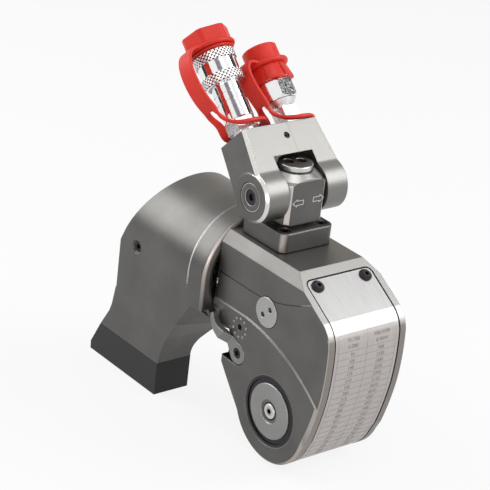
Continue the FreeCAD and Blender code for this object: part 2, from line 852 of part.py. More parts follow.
def leg_gusset():
    """Slanted web under the collar that brings the leg's scooped front out to the rim."""
    front = arm_front - rim_round
    heel = Vector(-92.2, -arm_r, 22.0)
    shelf = Vector(-79.3, -arm_r, leg_shelf_z)
    upper = Vector(front, -37.4, 39.4)
    lower = Vector(front, -25.5, 30.3)
    far = Vector(-93.0, leg_far, 17.0)
    inner = Vector(-85.0, -30.0, 42.0)
    return [
        tetrahedron([heel, shelf, upper, inner]),
        tetrahedron([heel, upper, lower, inner]),
        tetrahedron([heel, lower, far, inner]),
    ]


def near_flat():
    """The leg's flat near side carried forward along the collar to its rim."""
    flat = box(-82.0, arm_front, -arm_r, -arm_r + 9.0, leg_shelf_z, cyl_z)
    corner = [e for e in flat.Edges if on_plane_x(e, arm_front) and on_plane_y(e, -arm_r)]
    return flat.makeFillet(rim_round, corner)


def make_reaction_arm():
    collar = rod_x(arm_r, arm_back - 2, arm_front)
    collar = round_edges(collar, rim_round, lambda e: on_plane_x(e, arm_front))
    leg = side_slab(leg_side(), -arm_r, arm_r)
    leg = leg.common(front_slab(leg_front(), pad_rear_low - arm_r, arm_front))
    arm = collar.fuse([leg, near_flat()] + leg_gusset()).cut(back_cut())
    groove_x = arm_front - rim_len
    ring = rod_x(arm_r + 1, groove_x - 0.35, groove_x + 0.35)
    ring = ring.cut(rod_x(arm_r - 0.35, groove_x - 2, groove_x + 2))
    arm = arm.cut(ring)
    spline = splined_round(
        spline_tip_r + loose_gap, spline_root_r + loose_gap, arm_spline_rear, arm_front + 1)
    arm = arm.cut(spline)
    arm = arm.cut(rod_x(plug_flange_r + 0.6, arm_back - 3, arm_spline_rear + 1))
    arm = arm.cut(rod_x(spline_tip_r + 4.0, arm_front - 3.0, arm_front + 1))
    arm = arm.cut(rod_y(arm_screw_r + fit_gap, -arm_r - 1, -plug_flange_r, arm_screw_x, arm_screw_z))
    arm = arm.cut(rod_y(arm_screw_r + 0.9, -arm_r - 1, -arm_r + 1.0, arm_screw_x, arm_screw_z))
    save("reaction_arm", arm)
    tip = -plug_flange_r - 0.6
    screw = rod_y(arm_screw_r, -arm_r + 1.2, tip, arm_screw_x, arm_screw_z)
    save("arm_screw", screw.cut(rod_y(1.9, -arm_r, -arm_r + 6.0, arm_screw_x, arm_screw_z)))


def make_pad():
    points = [
        (pad_front, pad_top), (pad_rear_top, pad_top), (pad_rear_low, pad_bottom + 5.5),
        (pad_rear_low + 0.4, pad_bottom), (pad_front, pad_bottom)]
    save("reaction_pad", side_slab(points, -arm_r, leg_far))


# Swivel base, post and cap


def base_screw_places():
    half = base_screw_pitch / 2
    return [(swivel_x + sx * half, sy * half) for sx in (-1, 1) for sy in (-1, 1)]


def make_swivel_base():
    block = box(swivel_x - base_half, swivel_x + base_half, -base_half, base_half, head_top, base_top)
    block = round_edges(block, base_corner_r, lambda e: e.BoundBox.ZLength > base_height - 0.1)
    block = block.makeChamfer(0.5, [e for e in block.Edges if abs(e.BoundBox.ZMin - base_top) < 0.01])
    block = block.cut(rod_z(post_journal_r + 0.05, head_top + 3.0, base_top + 1, swivel_x))
    block = block.cut(rod_z(post_journal_r + 2.5, base_top - 3.0, base_top - 1.0, swivel_x))
    for x, y in base_screw_places():
        block = block.cut(rod_z(2.7, head_top - 1, base_top + 1, x, y))
        block = block.cut(rod_z(base_screw_head_r + 0.5, base_top - 4.5, base_top + 1, x, y))
    save("swivel_base", block)
    seal = rod_z(post_journal_r + 2.4, base_top - 2.95, base_top - 1.05, swivel_x)
    save("swivel_seal", seal.cut(rod_z(post_journal_r + 0.05, base_top - 4, base_top, swivel_x)))
    screws = []
    for x, y in base_screw_places():
        head = rod_z(base_screw_head_r, base_top - 4.5, base_top - 0.5, x, y)
        stem = rod_z(2.45, head_top - 8.5, base_top - 4.5, x, y)
        screw = head.fuse(stem)
        screws.append(screw.cut(hexagon(3.6, 3.0, Vector(x, y, base_top - 3.0))))
    save("swivel_base_screws", screws)


def make_post():
    """Square block with its corners turned down, domed to the cap and journalled in the base."""
    block = box(
        swivel_x - post_half, swivel_x + post_half, -post_half, post_half, post_low, pivot_z + 18.0)
    shoulder = base_top + post_shoulder_h - 1.5
    crown = base_top + post_crown_h - 0.5
    profile = [
        (0.0, post_low), (post_turned_r - 1.0, post_low), (post_turned_r, post_low + 1.0),
        (post_turned_r, shoulder), (cap_r + 1.2, crown), (0.0, crown)]
    block = block.common(turned(profile, swivel_x))
    neck = rod_z(post_journal_r + 2.0, base_top + 0.3, post_low, swivel_x)
    journal = rod_z(post_journal_r, head_top + 3.5, base_top + 0.3, swivel_x)
    post = block.fuse([neck, journal])
    post = post.cut(rod_y(7.0, -post_half - 1, post_half + 1, swivel_x, pivot_z))
    post = post.cut(rod_z(6.0, pivot_z, crown + 1, swivel_x))
    save("swivel_post", post)
    make_post_cap(crown)


def make_post_cap(low):
    """Round cap with an undercut below its rim and two spanner holes."""
    high = low + cap_height
    cap = rod_z(cap_r - 0.7, low, low + 1.0, swivel_x).fuse(rod_z(cap_r, low + 1.0, high, swivel_x))
    cap = cap.makeChamfer(0.5, [e for e in cap.Edges if abs(e.BoundBox.ZMin - high) < 0.01])
    cap = cap.fuse(rod_z(5.9, low - 5.0, low, swivel_x))
    for sign in (-1, 1):
        x = swivel_x - 0.8 + sign * 1.2
        cap = cap.cut(rod_z(cap_hole_r, low + 1.2, high + 1, x, sign * 4.4))
    save("post_cap", cap)


# Yoke and everything that tilts with it, drawn upright about the pivot and then laid back


def tilt(shape):
    shape.translate(Vector(swivel_x, 0, pivot_z))
    shape.rotate(Vector(swivel_x, 0, pivot_z), Vector(0, 1, 0), -yoke_tilt)
    return shape


def save_tilted(name, shapes):
    group = shapes if isinstance(shapes, list) else [shapes]
    save(name, [tilt(shape) for shape in group])


def yoke_block():
    """Tapered block over round ears, its front and rear edges bevelled down to the ears' rims."""
    outline = []
    for side in (1, -1):
        places = [(side * ear_half, 0.0), (side * ear_half, 8.0), (side * yoke_top_half, yoke_top)]
        outline += places if side > 0 else places[::-1]
    shape = front_slab(outline, -yoke_rear, yoke_front)
    low = yoke_top - 0.1
    rear_top = [e for e in shape.Edges if e.BoundBox.ZMin > low and e.BoundBox.XMax < -yoke_rear + 0.1]
    shape = shape.makeFillet(2.0, rear_top)
    for side in (-1, 1):
        for face in (yoke_front, -yoke_rear):
            shape = shape.cut(yoke_wedge(side, face))
    ear = rod_y(ear_r, -ear_half, ear_half)
    ear = ear.makeChamfer(yoke_bevel, [e for e in ear.Edges if e.BoundBox.YLength < 0.01])
    shape = shape.fuse(ear)
    shape = shape.cut(box(-2 * ear_r, 2 * ear_r, -ear_half - 1, ear_half + 1, -2 * ear_r, -ear_r))
    return fillet_ears(shape.removeSplitter())


def yoke_wedge(side, face):
    """Waste outside the bevel of one upright edge, leaning in with the side face."""
    ahead = 1 if face > 0 else -1
    reach = yoke_bevel + 1.0
    lean = (ear_half - yoke_top_half) / (yoke_top - 8.0)
    z = 4.0
    y = side * (ear_half + lean * (8.0 - z))
    ring = [
        Vector(face + ahead, y + side, z), Vector(face + ahead, y - side * reach, z),
        Vector(face - ahead * reach, y + side, z), Vector(face + ahead, y + side, z)]
    rise = yoke_top + 2.0 - z
    return Part.Face(Part.makePolygon(ring)).extrude(Vector(0, -side * lean * rise, rise))


def fillet_ears(shape):
    """Soften the line where the front and rear faces run into the round ears."""
    meet = math.sqrt(ear_r ** 2 - yoke_front ** 2)
    lines = []
    for edge in shape.Edges:
        box_ = edge.BoundBox
        if box_.YLength > 50.0 and abs(box_.ZMin - meet) < 0.2 and abs(box_.XMax - yoke_front) < 0.2:
            lines.append(edge)
    return shape.makeFillet(6.0, lines) if lines else shape


def make_yoke():
    shape = yoke_block()
    pocket = rod_y(slot_r, -slot_half, slot_half)
    shape = shape.cut(pocket)
    shape = shape.cut(rod_y(7.05, -ear_half - 1, ear_half + 1))
    for side in (-1, 1):
        start = ear_half - 5.0 if side > 0 else -ear_half - 1
        shape = shape.cut(rod_y(pivot_plug_r + 0.1, start, start + 6.0))
        y = side * coupler_half_pitch
        shape = shape.cut(rod_z(6.0, yoke_top - 12.0, yoke_top + 1, 0.0, y))
    shape = shape.cut(rod_x(2.2, yoke_front - 6.0, yoke_front + 1, 1.0, set_screw_v))
    save_tilted("swivel_yoke", shape)
    set_screw = rod_x(2.1, yoke_front - 5.9, yoke_front - 1.0, 1.0, set_screw_v)
    set_screw = set_screw.cut(rod_x(1.0, yoke_front - 3.0, yoke_front, 1.0, set_screw_v))
    save_tilted("yoke_set_screw", set_screw)
    tube = rod_y(7.0 - 0.05, -ear_half + 5.1, ear_half - 5.1)
    save_tilted("pivot_tube", tube.cut(rod_y(4.0, -ear_half, ear_half)))
    make_pivot_ends()


def make_pivot_ends():
    """A plug and a hexagon screw in the outer face of each ear."""
    plugs = []
    screws = []
    for side in (-1, 1):
        face = side * ear_half
        low, high = sorted((face - side * 0.3, face - side * 4.9))
        ring = rod_y(pivot_plug_r, low, high)
        hole_low, hole_high = sorted((face + side, face - side * 3.0))
        ring = ring.cut(rod_y(pivot_screw_r + 1.4, hole_low, hole_high))
        ring = ring.cut(rod_y(pivot_screw_r - 0.4, low - 1, high + 1))
        plugs.append(ring)
        low, high = sorted((face - side * 0.9, face - side * 2.95))
        head = rod_y(pivot_screw_r + 1.0, low, high)
        low, high = sorted((face - side * 2.9, face - side * 9.0))
        head = head.fuse(rod_y(pivot_screw_r - 0.5, low, high))
        low, high = sorted((face + side, face - side * 2.4))
        socket = side_slab([on_circle(2.6, 60.0 * i) for i in range(6)], low, high)
        screws.append(head.cut(socket))
    save_tilted("pivot_plugs", plugs)
    save_tilted("pivot_screws", screws)


# Couplers


def make_female_coupler():
    y = -coupler_half_pitch
    top = yoke_top
    adapter = hexagon(19.0, female_adapter_h - 3.0, Vector(0, y, top + 3.0), 10.0)
    adapter = adapter.fuse(rod_z(8.0, top, top + 3.0, 0.0, y))
    adapter = adapter.fuse(rod_z(5.9, top - 10.0, top, 0.0, y))
    adapter = adapter.cut(rod_z(3.0, top - 11.0, top + female_adapter_h + 1, 0.0, y))
    save_tilted("female_adapter", adapter)
    low = top + female_adapter_h
    body_top = top + female_body_top
    profile = [(3.0, low), (female_body_r - 1.0, low), (female_body_r, low + 1.0)]
    for groove, width in ((low + 12.6, 1.2), (low + 18.6, 1.0)):
        profile += [
            (female_body_r, groove), (female_body_r - 0.5, groove + 0.2),
            (female_body_r - 0.5, groove + width - 0.2), (female_body_r, groove + width)]
    profile += [
        (female_body_r, body_top + 16.0), (8.0, body_top + 16.0), (8.0, low + 18.0), (3.0, low + 14.0)]
    save_tilted("female_body", turned(profile, 0.0, y))
    make_female_sleeve(body_top, y)
    poppet = turned([
        (0.0, low + 16.0), (2.0, low + 16.0), (2.0, low + 22.0), (7.8, low + 28.0),
        (7.8, low + 34.0), (0.0, low + 34.0)], 0.0, y)
    save_tilted("female_poppet", poppet)


def make_female_sleeve(low, y):
    high = low + sleeve_len
    bore = female_body_r + 0.1
    waist = sleeve_r - 0.5
    save_tilted("female_sleeve", turned([
        (bore, low + 0.2), (knurl_r - 0.8, low), (knurl_r, low + 0.8), (knurl_r, low + knurl_len),
        (waist, low + knurl_len + 0.5), (waist, high - knurl_len - 0.5), (knurl_r, high - knurl_len),
        (knurl_r, high - 0.6), (knurl_r - 0.6, high), (female_body_r + 1.5, high),
        (female_body_r + 1.5, high - 7.0), (bore, high - 7.0)], 0.0, y))


def make_female_cap():
    y = -coupler_half_pitch
    low = yoke_top + female_body_top + sleeve_len + 0.3
    top = low + female_cap_len
    out = female_cap_r - 0.2
    cap = hexagon(2 * female_cap_r - 1.2, female_cap_len - 5.0, Vector(0, y, low + 5.0), 12.0)
    cap = cap.common(rod_z(female_cap_r + 0.7, low, top, 0.0, y))
    collar = turned([
        (0.0, low - 12.0), (7.9, low - 12.0), (7.9, low), (out - 0.6, low), (out, low + 0.5),
        (out, low + 1.2), (out - 0.6, low + 1.7), (out - 1.6, low + 1.8), (out - 1.6, low + 4.6),
        (out - 0.8, low + 4.7), (out, low + 5.0), (0.0, low + 5.0)], 0.0, y)
    cap = cap.fuse(collar).cut(rod_z(female_cap_r - 3.0, top - 2.0, top + 1, 0.0, y))
    save_tilted("female_dust_cap", cap)


def make_male_coupler():
    y = coupler_half_pitch
    top = yoke_top
    low = top + male_nut_low
    high = top + male_nut_high
    end = top + male_cap_top
    small = hexagon(17.0, male_nut_low - 6.5, Vector(0, y, top + 1.0), 20.0)
    neck = turned([
        (3.0, top), (8.0, top), (8.0, low - 6.0), (7.0, low - 5.5),
        (10.4, low - 0.2), (3.0, low - 0.2)], 0.0, y)
    neck = neck.fuse(rod_z(5.9, top - 10.0, top, 0.0, y)).fuse(small)
    neck = neck.cut(rod_z(3.0, top - 11.0, top + 40.0, 0.0, y))
    save_tilted("male_adapter", neck)
    nut = hexagon(male_nut_across, male_nut_high - male_nut_low, Vector(0, y, low), 36.0)
    shape = turned([
        (0.0, low), (11.0, low), (12.7, low + 2.0), (12.7, high - 1.5),
        (11.5, high), (0.0, high)], 0.0, y)
    nut = nut.common(shape)
    nose = turned([
        (0.0, high), (male_nose_r, high), (male_nose_r, top + male_cap_mid + 1.0),
        (male_nose_r - 1.5, end - 3.1), (0.0, end - 3.1)], 0.0, y)
    body = nut.fuse(nose)
    bore = turned([
        (0.0, top), (3.0, top), (3.0, low + 6.0), (6.6, low + 10.0), (6.6, end - 9.5),
        (4.0, end - 6.5), (4.0, end + 10.0), (0.0, end + 10.0)], 0.0, y)
    save_tilted("male_body", body.cut(bore))
    poppet = turned([
        (0.0, low + 16.0), (6.4, low + 16.0), (6.4, end - 10.2), (3.6, end - 7.4),
        (3.6, end - 4.2), (0.0, end - 4.2)], 0.0, y)
    save_tilted("male_poppet", poppet)


def make_male_cap():
    y = coupler_half_pitch
    low = yoke_top + male_cap_low
    mid = yoke_top + male_cap_mid
    end = yoke_top + male_cap_top
    clear = male_nose_r + loose_gap
    profile = [
        (clear, low), (male_rim_r, low), (male_rim_r, low + 1.6), (male_cap_r + 0.8, mid - 3.2),
        (male_cap_r - 0.8, mid - 3.0), (male_cap_r - 0.8, mid + 0.2), (male_cap_r + 0.2, mid + 0.4),
        (male_cap_r + 0.2, end - 0.6), (male_cap_r - 0.4, end), (0.0, end), (0.0, end - 3.0),
        (clear - 1.0, end - 3.0), (clear, end - 9.0)]
    cap = turned(profile, 0.0, y)
    save_tilted("male_dust_cap", cap.fuse(grip_ribs(7, low, mid - 4.0, y)))


def grip_ribs(count, low, high, y):
    """Upright ribs round the cap's tapered skirt."""
    ribs = []
    for i in range(count):
        rib = side_slab([
            (male_cap_r - 1.0, low), (male_rim_r + 0.9, low), (male_rim_r + 0.9, low + 1.4),
            (male_cap_r + 1.4, high), (male_cap_r - 1.0, high)], y - 1.3, y + 1.3)
        rib.rotate(Vector(0, y, 0), Vector(0, 0, 1), 360.0 * i / count + 10.0)
        ribs.append(rib)
    return ribs


# Dust cap straps


def band(points, width):
    """Flat band of even thickness whose middle line runs through (reach, height) points."""
    curve = Part.BSplineCurve()
    curve.interpolate([Vector(r, 0, h) for r, h in points])
    count = 12
    first, last = curve.FirstParameter, curve.LastParameter
    sides = ([], [])
    for i in range(count + 1):
        at = first + (last - first) * i / count
        point = curve.value(at)
        along = curve.tangent(at)[0]
        across = Vector(-along.z, 0, along.x)
        sides[0].append(point + across * (strap_thick / 2))
        sides[1].append(point - across * (strap_thick / 2))
    lines = []
    for side in sides:
        line = Part.BSplineCurve()
        line.interpolate(side)
        lines.append(line.toShape())
    ends = [Part.LineSegment(sides[0][i], sides[1][i]).toShape() for i in (0, -1)]
    face = Part.Face(Part.Wire([lines[0], ends[1], lines[1], ends[0]]))
    solid = face.extrude(Vector(0, width, 0))
    solid.translate(Vector(0, -width / 2, 0))
    return solid


def make_strap(name, y, ring_low, ring_inner, route):
    """One moulded strap: a ring round the cap, a flat band and an eyelet round the adapter."""
    ring = rod_z(ring_inner + strap_ring_width, ring_low, ring_low + 2.6)
    eye_low = yoke_top + 0.3
    eyelet = rod_z(eyelet_r, eye_low, eye_low + 2.4)
    strap = band(route, strap_width).fuse([ring, eyelet])
    strap = strap.cut(rod_z(eyelet_r - 3.4, eye_low - 1, eye_low + 4))
    strap = strap.cut(rod_z(ring_inner, ring_low - 2, ring_low + 5))
    strap.rotate(Vector(0, 0, 0), Vector(0, 0, 1), strap_azimuth)
    strap.translate(Vector(0, y, 0))
    save_tilted(name, max(strap.Solids, key=lambda solid: solid.Volume))


def make_straps():
    low = yoke_top + female_body_top + sleeve_len + 0.3 + 1.95
    inner = female_cap_r - 1.8 + loose_gap
    route = [
        (inner + 1.5, low + 1.3), (inner + 6.0, low - 0.5), (inner + 10.5, low - 8.0),
        (inner + 9.5, low - 22.0), (inner + 6.0, low - 36.0), (inner + 1.2, low - 48.0),
        (eyelet_r - 2.0, yoke_top + 2.6)]
    make_strap("female_cap_strap", -coupler_half_pitch, low, inner, route)
    low = yoke_top + male_cap_mid - 2.7
    inner = male_cap_r - 0.8 + loose_gap
    route = [
        (inner + 1.5, low + 1.3), (inner + 5.0, low - 1.0), (inner + 7.4, low - 8.0),
        (inner + 7.0, low - 19.0), (inner + 4.8, low - 30.0), (eyelet_r - 1.0, yoke_top + 4.0),
        (eyelet_r - 2.2, yoke_top + 1.8)]
    make_strap("male_cap_strap", coupler_half_pitch, low, inner, route)


make_housing()
make_index_screw()
make_shroud()
make_shroud_screws()
make_access_plug()
make_end_plug()
make_rod_gland()
make_piston()
make_ratchet()
make_square_drive()
make_retainer()
make_bushings()
make_levers()
make_drive_pawls()
make_reaction_pawl()
make_release_lever()
make_reaction_arm()
make_pad()
make_swivel_base()
make_post()
make_yoke()
make_female_coupler()
make_female_cap()
make_male_coupler()
make_male_cap()
make_straps()
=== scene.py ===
import math

import bmesh
import bpy
from mathutils import Matrix, Vector
from mathutils.bvhtree import BVHTree


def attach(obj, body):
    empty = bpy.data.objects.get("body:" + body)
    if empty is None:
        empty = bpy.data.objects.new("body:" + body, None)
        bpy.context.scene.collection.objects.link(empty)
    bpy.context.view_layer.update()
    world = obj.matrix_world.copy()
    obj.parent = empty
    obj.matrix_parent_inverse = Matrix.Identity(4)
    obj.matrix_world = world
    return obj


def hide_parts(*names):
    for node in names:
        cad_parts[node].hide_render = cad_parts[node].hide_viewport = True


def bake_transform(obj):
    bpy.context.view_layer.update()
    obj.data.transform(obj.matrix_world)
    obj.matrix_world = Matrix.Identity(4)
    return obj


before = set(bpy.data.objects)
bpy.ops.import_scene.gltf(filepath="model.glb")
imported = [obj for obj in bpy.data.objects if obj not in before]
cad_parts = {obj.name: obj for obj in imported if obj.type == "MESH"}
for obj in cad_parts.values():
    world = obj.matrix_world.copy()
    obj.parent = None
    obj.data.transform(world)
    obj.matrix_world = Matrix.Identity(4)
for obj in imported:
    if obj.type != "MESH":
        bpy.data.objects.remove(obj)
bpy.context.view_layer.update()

# Camera
# It stands ahead of the front shroud, to the near side and above, and leans a little
# to the left, as the photograph does.
camera = bpy.data.objects.new("camera", bpy.data.cameras.new("camera"))
camera.data.lens = 144.66
camera.data.sensor_width = 36.0
camera.data.clip_start = 0.05
camera.data.clip_end = 20.0
camera.location = (0.82369, -0.78829, 0.61042)
camera.rotation_euler = [math.radians(turn) for turn in (65.903, -6.344, 51.766)]
bpy.context.scene.collection.objects.link(camera)
bpy.context.scene.camera = camera
bpy.context.scene.view_settings.view_transform = "Standard"


# Floor
# White paper laid under the arm's foot, wide enough to be the backdrop as well. It keeps
# the tool's shadow and shows white to the camera.
floor_z = -0.038
floor_reach = 6.0


class Value:
    """A shader value: reckoning with it adds the Math nodes."""

    def __init__(self, finish, socket):
        self.finish = finish
        self.socket = socket

    def reckon(self, operation, *others):
        return self.finish.add("ShaderNodeMath", {"operation": operation}, dict(enumerate((self, *others))))

    def __add__(self, other):
        return self.reckon("ADD", other)

    def __radd__(self, other):
        return self.reckon("ADD", other)

    def __sub__(self, other):
        return self.reckon("SUBTRACT", other)

    def __rsub__(self, other):
        return self.finish.add("ShaderNodeMath", {"operation": "SUBTRACT"}, {0: other, 1: self})

    def __mul__(self, other):
        return self.reckon("MULTIPLY", other)

    def __rmul__(self, other):
        return self.reckon("MULTIPLY", other)

    def __gt__(self, other):
        return self.reckon("GREATER_THAN", other)

    def __lt__(self, other):
        return self.reckon("LESS_THAN", other)

    def __abs__(self):
        return self.reckon("ABSOLUTE")

    def within(self, low, high):
        """1 between the two limits and 0 outside them."""
        return (self > low) * (self < high)


class Finish:
    """A surface finish: one material and the nodes that make it."""

    def __init__(self, name, shader="ShaderNodeBsdfPrincipled"):
        self.material = bpy.data.materials.new(name)
        self.material.use_nodes = True
        self.bench(self.material.node_tree, "ShaderNodeOutputMaterial", shader)

    def bench(self, tree, output, shader):
        """Clear the node tree and join one shader to its output."""
        self.tree = tree
        tree.nodes.clear()
        out = tree.nodes.new(output)
        self.shader = tree.nodes.new(shader)
        tree.links.new(self.shader.outputs[0], out.inputs["Surface"])

    def plug(self, socket, value):
        if isinstance(value, Value):
            self.tree.links.new(value.socket, socket)
        elif isinstance(value, tuple) and len(value) == 3 and len(socket.default_value) == 4:
            socket.default_value = (*value, 1.0)
        else:
            socket.default_value = value

    def add(self, kind, settings=None, inputs=None, out=0):
        """Add a node: its settings first, then the values or links of its sockets."""
        node = self.tree.nodes.new(kind)
        for name, value in (settings or {}).items():
            setattr(node, name, value)
        for name, value in (inputs or {}).items():
            self.plug(node.inputs[name], value)
        return Value(self, node.outputs[out])

    def place(self, scale=(1, 1, 1)):
        """Object coordinates, stretched where a pattern runs one way."""
        spot = self.add("ShaderNodeTexCoord", out="Object")
        if scale == (1, 1, 1):
            return spot
        return self.add("ShaderNodeMapping", {}, {"Vector": spot, "Scale": scale})

    def facing(self):
        """The three parts of the way the surface faces."""
        return self.split(self.add("ShaderNodeTexCoord", out="Normal"))

    def noise(self, scale, detail=2.0, stretch=(1, 1, 1)):
        spot = self.place(stretch)
        return self.add("ShaderNodeTexNoise", {}, {"Vector": spot, "Scale": scale, "Detail": detail})

    def split(self, vector):
        """The three numbers of a vector."""
        node = self.tree.nodes.new("ShaderNodeSeparateXYZ")
        self.plug(node.inputs[0], vector)
        return [Value(self, part) for part in node.outputs]

    def range(self, value, low, high, to_low=0.0, to_high=1.0):
        steps = {"Value": value, "From Min": low, "From Max": high, "To Min": to_low, "To Max": to_high}
        return self.add("ShaderNodeMapRange", {"clamp": True}, steps)

    def mix(self, amount, first, second):
        return self.add("ShaderNodeMix", {"data_type": "RGBA"}, {0: amount, 6: first, 7: second}, out=2)

    def bump(self, height, strength, depth, normal=None):
        steps = {"Strength": strength, "Distance": depth, "Height": height}
        if normal is not None:
            steps["Normal"] = normal
        return self.add("ShaderNodeBump", {}, steps)

    def surface(self, **values):
        for name, value in values.items():
            self.plug(self.shader.inputs[name.replace("_", " ")], value)

    def on(self, *nodes):
        """Give this finish to the named parts of the frame."""
        for name in nodes:
            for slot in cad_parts[name].material_slots:
                slot.material = self.material


def finished(shape, name, finish):
    """The piece that a shape has become, with its finish on."""
    mesh = bpy.data.meshes.new(name)
    shape.to_mesh(mesh)
    shape.free()
    mesh.materials.append(finish.material)
    piece = bpy.data.objects.new(name, mesh)
    bpy.context.scene.collection.objects.link(piece)
    return piece


def white_mask(finish, seen, reflected):
    """1 where the camera, a mirror or clear stuff looks, 0 for the light that falls on the tool."""
    camera_ray = finish.add("ShaderNodeLightPath", out="Is Camera Ray")
    path = camera_ray.socket.node.outputs
    mirrored = Value(finish, path["Is Glossy Ray"]) + Value(finish, path["Is Transmission Ray"])
    return finish.range(camera_ray * seen + mirrored * reflected, 0.0, 1.0)


paper = Finish("white_paper", "ShaderNodeMixShader")
paper.plug(paper.shader.inputs[0], white_mask(paper, 0.86, 0.5))
paper.plug(paper.shader.inputs[1], paper.add("ShaderNodeBsdfDiffuse", {}, {"Color": (0.80, 0.80, 0.80)}))
paper.plug(paper.shader.inputs[2], paper.add("ShaderNodeEmission", {}, {"Color": (1.0, 1.0, 1.0)}))
floor_shape = bmesh.new()
bmesh.ops.create_grid(floor_shape, x_segments=1, y_segments=1, size=floor_reach)
bmesh.ops.translate(floor_shape, verts=floor_shape.verts, vec=(0, 0, floor_z))
finished(floor_shape, "floor", paper)


# Studio light
# A plain bright room, a soft box above and behind to the left, a wide one to the right, a
# small one overhead and a weak warm fill beside the camera.
class Sky(Finish):
    """The same bench of nodes for the world."""

    def __init__(self, name):
        self.world = bpy.data.worlds.new(name)
        self.world.use_nodes = True
        self.bench(self.world.node_tree, "ShaderNodeOutputWorld", "ShaderNodeMixShader")


sky = Sky("studio")
bpy.context.scene.world = sky.world
room = sky.add("ShaderNodeBackground", {}, {"Color": (0.97, 0.98, 1.0), "Strength": 0.36})
backdrop = sky.add("ShaderNodeBackground", {}, {"Color": (1.0, 1.0, 1.0), "Strength": 1.0})
sky.plug(sky.shader.inputs[0], white_mask(sky, 1.0, 1.0))
sky.plug(sky.shader.inputs[1], room)
sky.plug(sky.shader.inputs[2], backdrop)

tool_middle = Vector((-0.04, 0.0, 0.07))


def soft_box(name, aim, distance, size, power, tint=(1.0, 1.0, 1.0)):
    """A rectangular lamp facing the tool from the direction aim."""
    lamp = bpy.data.lights.new(name, "AREA")
    lamp.shape = "RECTANGLE"
    lamp.size, lamp.size_y = size
    lamp.energy = power
    lamp.color = tint
    holder = bpy.data.objects.new(name, lamp)
    direction = Vector(aim).normalized()
    holder.location = tool_middle + direction * distance
    holder.rotation_euler = direction.to_track_quat("Z", "Y").to_euler()
    bpy.context.scene.collection.objects.link(holder)


soft_box("left_box", (-0.69, -0.53, 0.44), 1.4, (1.0, 1.05), 11.0)
soft_box("right_box", (0.52, 0.60, 0.60), 1.5, (1.0, 1.0), 13.5)
soft_box("top_box", (0.16, -0.07, 0.98), 1.3, (0.5, 0.5), 3.0)
soft_box("low_fill", (0.62, -0.70, 0.12), 1.5, (0.8, 0.3), 3.2, (1.0, 0.93, 0.90))


# Studio screens
# Cards hung about the tool that show only in its bright metal: black ones give the couplers
# their dark streaks, a grey one the top of the yoke, and a warm one the back of the arm.
def screen(name, middle, aim, distance, size, tone):
    """A card that only mirrors see, facing the point middle from the direction aim."""
    direction = Vector(aim).normalized()
    shape = bmesh.new()
    bmesh.ops.create_grid(shape, x_segments=1, y_segments=1, size=0.5)
    bmesh.ops.scale(shape, verts=shape.verts, vec=(*size, 1.0))
    turn = direction.to_track_quat("Z", "Y").to_matrix()
    bmesh.ops.rotate(shape, verts=shape.verts, cent=(0, 0, 0), matrix=turn)
    bmesh.ops.translate(shape, verts=shape.verts, vec=middle + direction * distance)
    cloth = Finish(name, "ShaderNodeEmission")
    cloth.surface(Color=tone)
    card = finished(shape, name, cloth)
    card.visible_camera = card.visible_diffuse = card.visible_shadow = False
    card.visible_transmission = False


coupler_middle = Vector((-0.105, -0.02, 0.20))
screen("left_card", coupler_middle, (-0.57, -0.77, -0.26), 0.84, (0.36, 0.34), (0.03, 0.03, 0.03))
screen("right_card", coupler_middle, (0.08, 0.92, 0.387), 1.0, (0.40, 0.62), (0.05, 0.05, 0.055))
screen("front_card", coupler_middle, (0.448, -0.457, 0.768), 1.0, (0.52, 0.36), (0.26, 0.235, 0.27))
screen("top_card", tool_middle, (-0.69, 0.60, 0.44), 0.9, (0.95, 0.55), (0.92, 0.86, 0.80))


# Housing
# A machined block of steel with a warm satin plating: fine even grain, slightly cloudy, with
# the cutter's faint marks along the side faces and every edge worn bright, with a painted highlight
# on the edges too. Painted shade darkens its pocket, bores, gaps and steps, painted highlights
# lighten the faces turned to the front, and painted light lifts the arm's shadow on the near side.
def soft_edge(finish, radius):
    """The rounded normal near an edge, and 1 on the edge itself, where the plating wears bright and takes a
    painted highlight.
    """
    normal = finish.add("ShaderNodeBevel", {"samples": 4}, {"Radius": radius})
    flat = finish.add("ShaderNodeNewGeometry", out="Normal")
    same = finish.add("ShaderNodeVectorMath", {"operation": "DOT_PRODUCT"}, {0: normal, 1: flat}, out="Value")
    return normal, finish.range(1.0 - same, 0.02, 0.25)


class Plated(Finish):
    """Satin plating: fine even grain, faint cutter marks, edges worn bright with a painted highlight."""

    def __init__(self, name, dark, light, rough=0.36, edge=0.0007, worn=(0.30, 0.29, 0.275)):
        super().__init__(name)
        speck = self.noise(4200.0, 2.0)
        cloud = self.noise(38.0, 3.0)
        cut = self.noise(900.0, 2.0, (0.06, 1.0, 1.0))
        tone = self.range(cloud * 0.45 + speck * 0.55, 0.32, 0.68)
        normal, self.rim = soft_edge(self, edge)
        # The worn colour on the edges is both real wear and a painted highlight.
        self.colour = self.mix(self.rim * 0.7, self.mix(tone, dark, light), worn)
        self.rough = self.range(speck * 0.5 + cut * 0.5, 0.2, 0.8, rough - 0.05, rough + 0.07)
        self.surface(
            Base_Color=self.colour,
            Metallic=0.9,
            Roughness=self.rough,
            Normal=self.bump(speck * 0.7 + cut * 0.3, 0.125, 0.00006, normal),
        )

    def tint(self, mask, colour, smoother=None):
        """Give another colour, and perhaps a finer polish, where the mask is 1."""
        self.colour = self.mix(mask, self.colour, colour)
        self.surface(Base_Color=self.colour)
        if smoother is not None:
            self.rough = self.rough - mask * smoother
            self.surface(Roughness=self.rough)


def apart(first, second):
    """The length of the line that runs by first one way and by second the other."""
    return (first * first + second * second).reckon("SQRT")


def away(finish, x, z):
    """How far each point lies from the line across the tool through x, z."""
    across, _, up = finish.split(finish.place())
    return apart(across - x, up - z)


plating_dark = (0.100, 0.098, 0.093)
plating_light = (0.155, 0.152, 0.145)
plating = Plated("housing_plating", plating_dark, plating_light)
lengthwise, sideways, upright = plating.split(plating.place())
facing_front, facing_side, facing_up = plating.facing()
near_face = sideways < -0.0318

